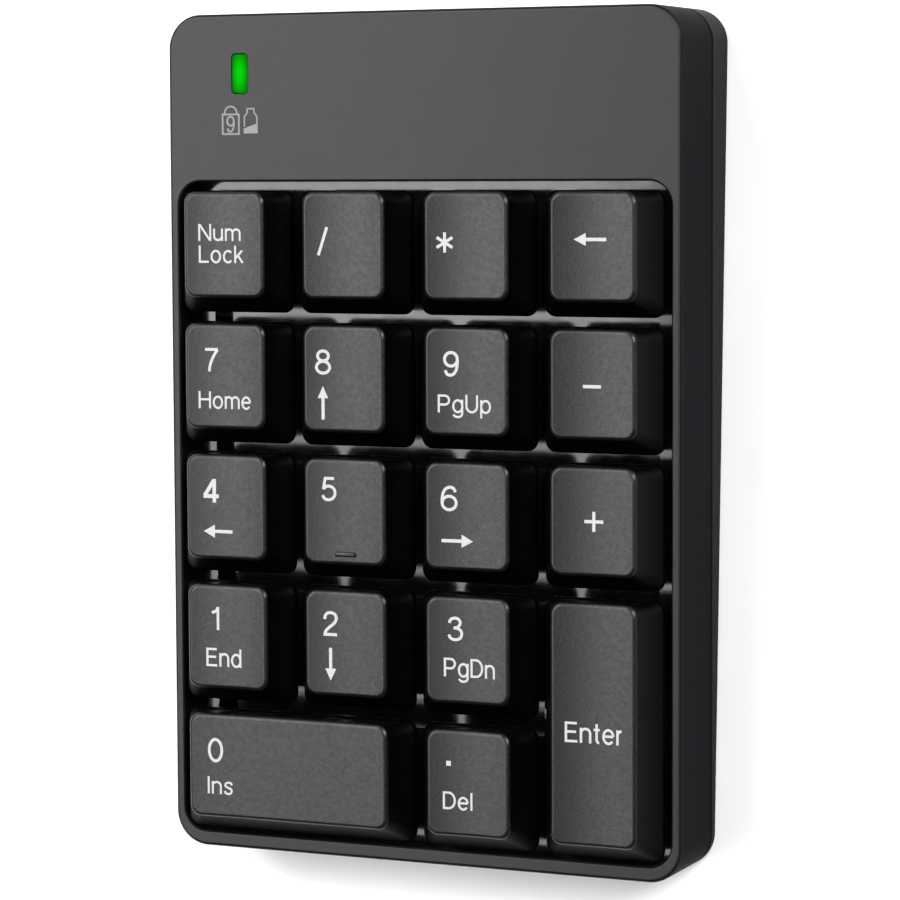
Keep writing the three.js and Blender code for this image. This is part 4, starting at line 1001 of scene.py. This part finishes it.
# ------------------------------------------------------------------ feet, screws, slider, lens
for name, (x, y) in FEET.items():
    rows = []
    for k in range(7):
        a = math.radians(90 * k / 6)
        g = 0.55 * (1 - math.sin(a))
        rows.append((rring(x, y, 7.0 - g, 2.5 - g, 2.3 - g, 12), -1.0 + 0.55 * (1 - math.cos(a))))
    rows.append((rring(x, y, 7.0, 2.5, 2.3, 12), 0.3))
    pad = on_floor(outward(loft(name + "_pad", levels(rows))))
    shade(pad, angle=26)
    done(pad, M["rubber"], "case", [name])


def screw(name, x, y, head_r, head_h, shaft_r, seat, tip, pitch=0.7):
    """A pan-head screw with a cross recess and a rolled thread, head down."""
    z = seat - head_h
    profile = [(0, z)]
    for k in range(6):
        a = math.radians(90 * k / 5)
        profile.append((head_r - 0.5 + 0.5 * math.sin(a), z + 0.5 * (1 - math.cos(a))))
    profile += [(head_r, seat), (shaft_r, seat)]
    zz = seat + 0.5
    while zz < tip - 1.0:
        profile += [(shaft_r * 0.8, zz), (shaft_r, zz + pitch * 0.35), (shaft_r * 0.8, zz + pitch * 0.7)]
        zz += pitch
    profile += [(shaft_r * 0.8, tip - 0.7), (0, tip)]
    s = outward(lathe(name, profile, 32, (x, y)))
    for a in (0, 90):
        arm = outward(loft("arm", levels([(rring(0, 0, head_r * 0.58, 0.30, 0.05, 2), z - 0.2), (rring(0, 0, head_r * 0.30, 0.20, 0.05, 2), z + head_h * 0.72)])))
        transform(arm, Matrix.Translation((x, y, 0)) @ Matrix.Rotation(math.radians(a + 25 + 13 * (x + y)), 4, "Z"))
        csg(s, "-", arm)
    return s


for i, (x, y) in enumerate(DECK_SCREWS + HEADER_SCREWS):
    o = screw(f"case_screw_{i + 1}_head", x, y, 1.8, 1.2, 0.95, SEAT - 0.05, -8.6)
    shade(o, angle=32)
    done(o, M["screw"], "case", [f"case_screw_{i + 1}"])
for i, (x, y) in enumerate(((-35.2, 52.4), (-21.8, 52.4))):
    o = screw(f"clamp_screw_{i + 1}_head", x, y, 1.5, 1.0, 0.72, -13.65, -7.2, 0.6)
    shade(o, angle=32)
    done(o, M["screw"], "case", [f"clamp_screw_{i + 1}"])


def slider():
    c, b = -30, 62
    body = box(c - 3.6, c + 3.6, b - 2.7, b + 2.7, 1.7, 2.5, 0.4)
    csg(body, "+", box(c - 1.6, c + 1.6, b - 1.7, b + 1.7, 0.35, 1.8, 0.3), box(c - 1.6, c + 1.6, b - 1.6, b + 1.6, 2.4, 3.55, 0.3))
    csg(body, "-", box(c - 0.95, c + 0.95, b - 0.95, b + 0.95, 1.7, 5))
    for x in (-1.05, -0.35, 0.35, 1.05):
        rib = transform(cyl(0, 0, -2, 2, 0.2, 16), Matrix.Translation((c + x, b, 0.30)) @ Matrix.Rotation(math.pi / 2, 4, "X"))
        csg(body, "-", outward(rib))
    return on_floor(outward(body))


knob = slider()
knob.name = "power_slider_knob"
shade(knob, angle=26)
done(knob, M["black"], "power_slider", ["power_slider"])

x, y = -28.2, 63.86
rows = [(rring(x, y, 1.2, 2.77, 0.5, 8), -7.3), (rring(x, y, 1.2, 2.77, 0.5, 8), -0.05)]
for k in range(1, 5):
    a = math.radians(90 * k / 4)
    g = 0.14 * (1 - math.cos(a))
    rows.append((rring(x, y, 1.2 - g, 2.77 - g, 0.5 - g, 8), -0.05 + 0.10 * math.sin(a)))
guide = csg(outward(loft("guide", levels(rows))), "+", prism(rring(x, y, 2.2, 3.8, 0.6, 6), -3.0, -2.15))
guide.name = "indicator_light_guide"
shade(guide, angle=30)
done(guide, M["lens"], "case", ["indicator_lens"])


# ------------------------------------------------------------------ cells
def cell(name, v, positive):
    L, R = 44.5, 5.1
    prof = [(0, 0), (3.9, 0), (4.15, 0.12), (4.3, 0.12), (4.55, 0.02), (4.8, 0.08), (5.02, 0.3), (5.1, 0.6), (5.1, L - 2.1), (5.06, L - 1.75), (4.85, L - 1.45), (4.6, L - 1.35), (4.45, L - 1.5), (2.2, L - 1.5), (1.95, L - 1.35), (1.9, L - 0.25), (1.65, L), (0, L)]
    ob = outward(lathe(name, prof, 48))
    ob.data.materials.append(M["jacket"])
    ob.data.materials.append(M["brass"])
    for p in ob.data.polygons:
        z = p.center.z
        r = math.hypot(p.center.x, p.center.y)
        p.material_index = 1 if (r < 4.7 or z < 0.5 or z > L - 1.55) else 0
    m = Matrix.Rotation(math.pi / 2, 4, "Y")
    if positive < 0:
        m = Matrix.Rotation(math.pi, 4, "Z") @ m
    start = -16.75 + L if positive < 0 else 31.85 - L
    transform(ob, DECK @ Matrix.Translation((start, v, -12.25)) @ m)
    shade_keep(ob)
    return ob


def shade_keep(ob):
    bm = bmesh.new()
    bm.from_mesh(ob.data)
    for f in bm.faces:
        f.smooth = True
    for e in bm.edges:
        if len(e.link_faces) == 2 and e.calc_face_angle(0) > math.radians(35):
            e.smooth = False
    bm.to_mesh(ob.data)
    bm.free()


for name, v, pos in (("battery_a", 54.6, -1), ("battery_b", 64.9, 1)):
    o = cell(name + "_cell", v, pos)
    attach(o, "case")
    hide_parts(name)

# ------------------------------------------------------------------ dome mat: a sheet, and a dome under each key
MAT_TOP, MAT_BOT, DOME_TOP = -10.65, -11.25, -7.0
sheet = prism(rring(0, 0, 37.1, 47.6, 1.5, 6), MAT_BOT, MAT_TOP, "dome_sheet")
for x, y in DECK_SCREWS:
    csg(sheet, "-", cyl(x, y, MAT_BOT - 1, MAT_TOP + 1, 2.9))
for x, y, _w, _t in KEYS.values():
    csg(sheet, "-", cyl(x, y, MAT_BOT - 1, MAT_TOP + 1, 4.4))
shade(sheet, angle=30)
done(sheet, M["silicone"], "case", ["dome_mat"])
for _name, (x, y, _w, _t) in KEYS.items():
    # a thin bell with a ring of flats at its shoulder and a contact pill hanging inside its crown
    profile = [(4.38, MAT_BOT + 0.02), (4.55, MAT_BOT + 0.3), (4.75, MAT_TOP + 0.02), (4.72, MAT_TOP + 0.12), (4.2, MAT_TOP + 0.5), (3.75, -9.4), (3.35, -8.7), (3.05, -8.15), (2.9, -7.5), (2.82, DOME_TOP - 0.12), (2.66, DOME_TOP), (1.1, DOME_TOP), (0.9, DOME_TOP - 0.12), (0, DOME_TOP - 0.12)]
    inner = [(0, -9.85), (1.15, -9.85), (1.25, -9.75), (1.25, -8.3), (2.3, -8.45), (2.75, -8.9), (3.4, -9.9), (3.9, MAT_TOP), (4.3, MAT_BOT + 0.02)]
    dome = outward(lathe("dome_" + _name[4:], [(r, z) for r, z in inner] + profile, 32, (x, y)))
    dome.name = "dome_" + _name[4:]
    shade(dome, angle=40, tidy=False)
    done(dome, M["silicone"], "case")
    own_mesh(dome)


# ------------------------------------------------------------------ CAD nodes carried over
CARRIED = {
    "key_deck": "deck", "membrane_upper": "film", "membrane_spacer": "film", "membrane_lower": "film",
    "backing_plate": "steel", "contact_negative": "nickel", "contact_positive": "nickel", "contact_bridge": "nickel",
    "lead_red": "red", "lead_black": "lead", "circuit_board": "board", "controller_chip": "part", "crystal": "can",
    "capacitor": "part", "indicator_led": "led", "membrane_clamp": "black", "power_switch": "can", "power_switch_lever": "black",
    "stabilizer_wire_zero": "steel", "stabilizer_wire_enter": "steel",
}
for n, key in CARRIED.items():
    ob = frame["nodes"][n]
    ob.data.materials.clear()
    ob.data.materials.append(M[key])

# ------------------------------------------------------------------ floor, light and camera
floor_me = bpy.data.meshes.new("studio_floor")
floor_me.from_pydata([(-6, -6, 0), (6, -6, 0), (6, 6, 0), (-6, 6, 0)], [], [(0, 1, 2, 3)])
floor = new_object("studio_floor", floor_me)
fm = moulded("floor_paint", (0.92, 0.92, 0.92), 0.6, grain=6.0, depth=0.0, spread=0.01)
floor.data.materials.append(fm)

world = bpy.data.worlds.new("studio")
scene.world = world
world.use_nodes = True
world.node_tree.nodes["Background"].inputs["Color"].default_value = (1, 1, 1, 1)
world.node_tree.nodes["Background"].inputs["Strength"].default_value = 0.035


def panel(name, x0, x1, y0, y1, z, radiance, aim=None):
    """A rectangular softbox at height z; it faces down, or towards aim."""
    light = bpy.data.lights.new(name, "AREA")
    light.shape = "RECTANGLE"
    light.size, light.size_y = x1 - x0, y1 - y0
    light.energy = radiance * math.pi * light.size * light.size_y
    ob = bpy.data.objects.new(name, light)
    ob.location = ((x0 + x1) / 2, (y0 + y1) / 2, z)
    if aim is not None:
        ob.rotation_euler = (ob.location - Vector(aim)).to_track_quat("Z", "Y").to_euler()
    scene.collection.objects.link(ob)
    return ob


panel("key_softbox", -1.02, -0.33, -0.115, 0.60, 1.0, 7.4)
panel("front_softbox", -1.02, -0.28, -0.50, -0.115, 1.0, 4.8)
panel("rear_softbox", -1.25, -0.25, 0.60, 1.45, 1.0, 6.0, aim=(0, 0, 0))
panel("right_fill", 0.55, 1.15, 0.10, 1.10, 0.95, 14.5, aim=(0.06, 0, 0))
panel("overhead", -1.2, 1.2, -1.2, 1.2, 1.7, 0.5)

# camera: fitted in the deck frame
R_FIT = Matrix(((0.9149486375883279, -0.004588832138705976, -0.4035442146715344), (-0.02930112213351504, 0.9965409717013143, -0.07776590488329138), (0.40250519849683863, 0.08297610704415499, 0.9116493464281196)))
C_FIT = Vector((200.56686404836162, 50.371855577535946, 443.1890659443421))
cam_data = bpy.data.cameras.new("camera")
cam_data.sensor_width = 36
cam_data.lens = 136.467
cam_data.clip_start, cam_data.clip_end = 0.01, 20
cam = bpy.data.objects.new("camera", cam_data)
scene.collection.objects.link(cam)
rot = (Matrix.Rotation(TILT, 3, "X") @ R_FIT.transposed()).to_4x4()
cam.matrix_world = Matrix.Translation(DECK @ C_FIT) @ rot
scene.camera = cam
scene.view_settings.view_transform = "Standard"
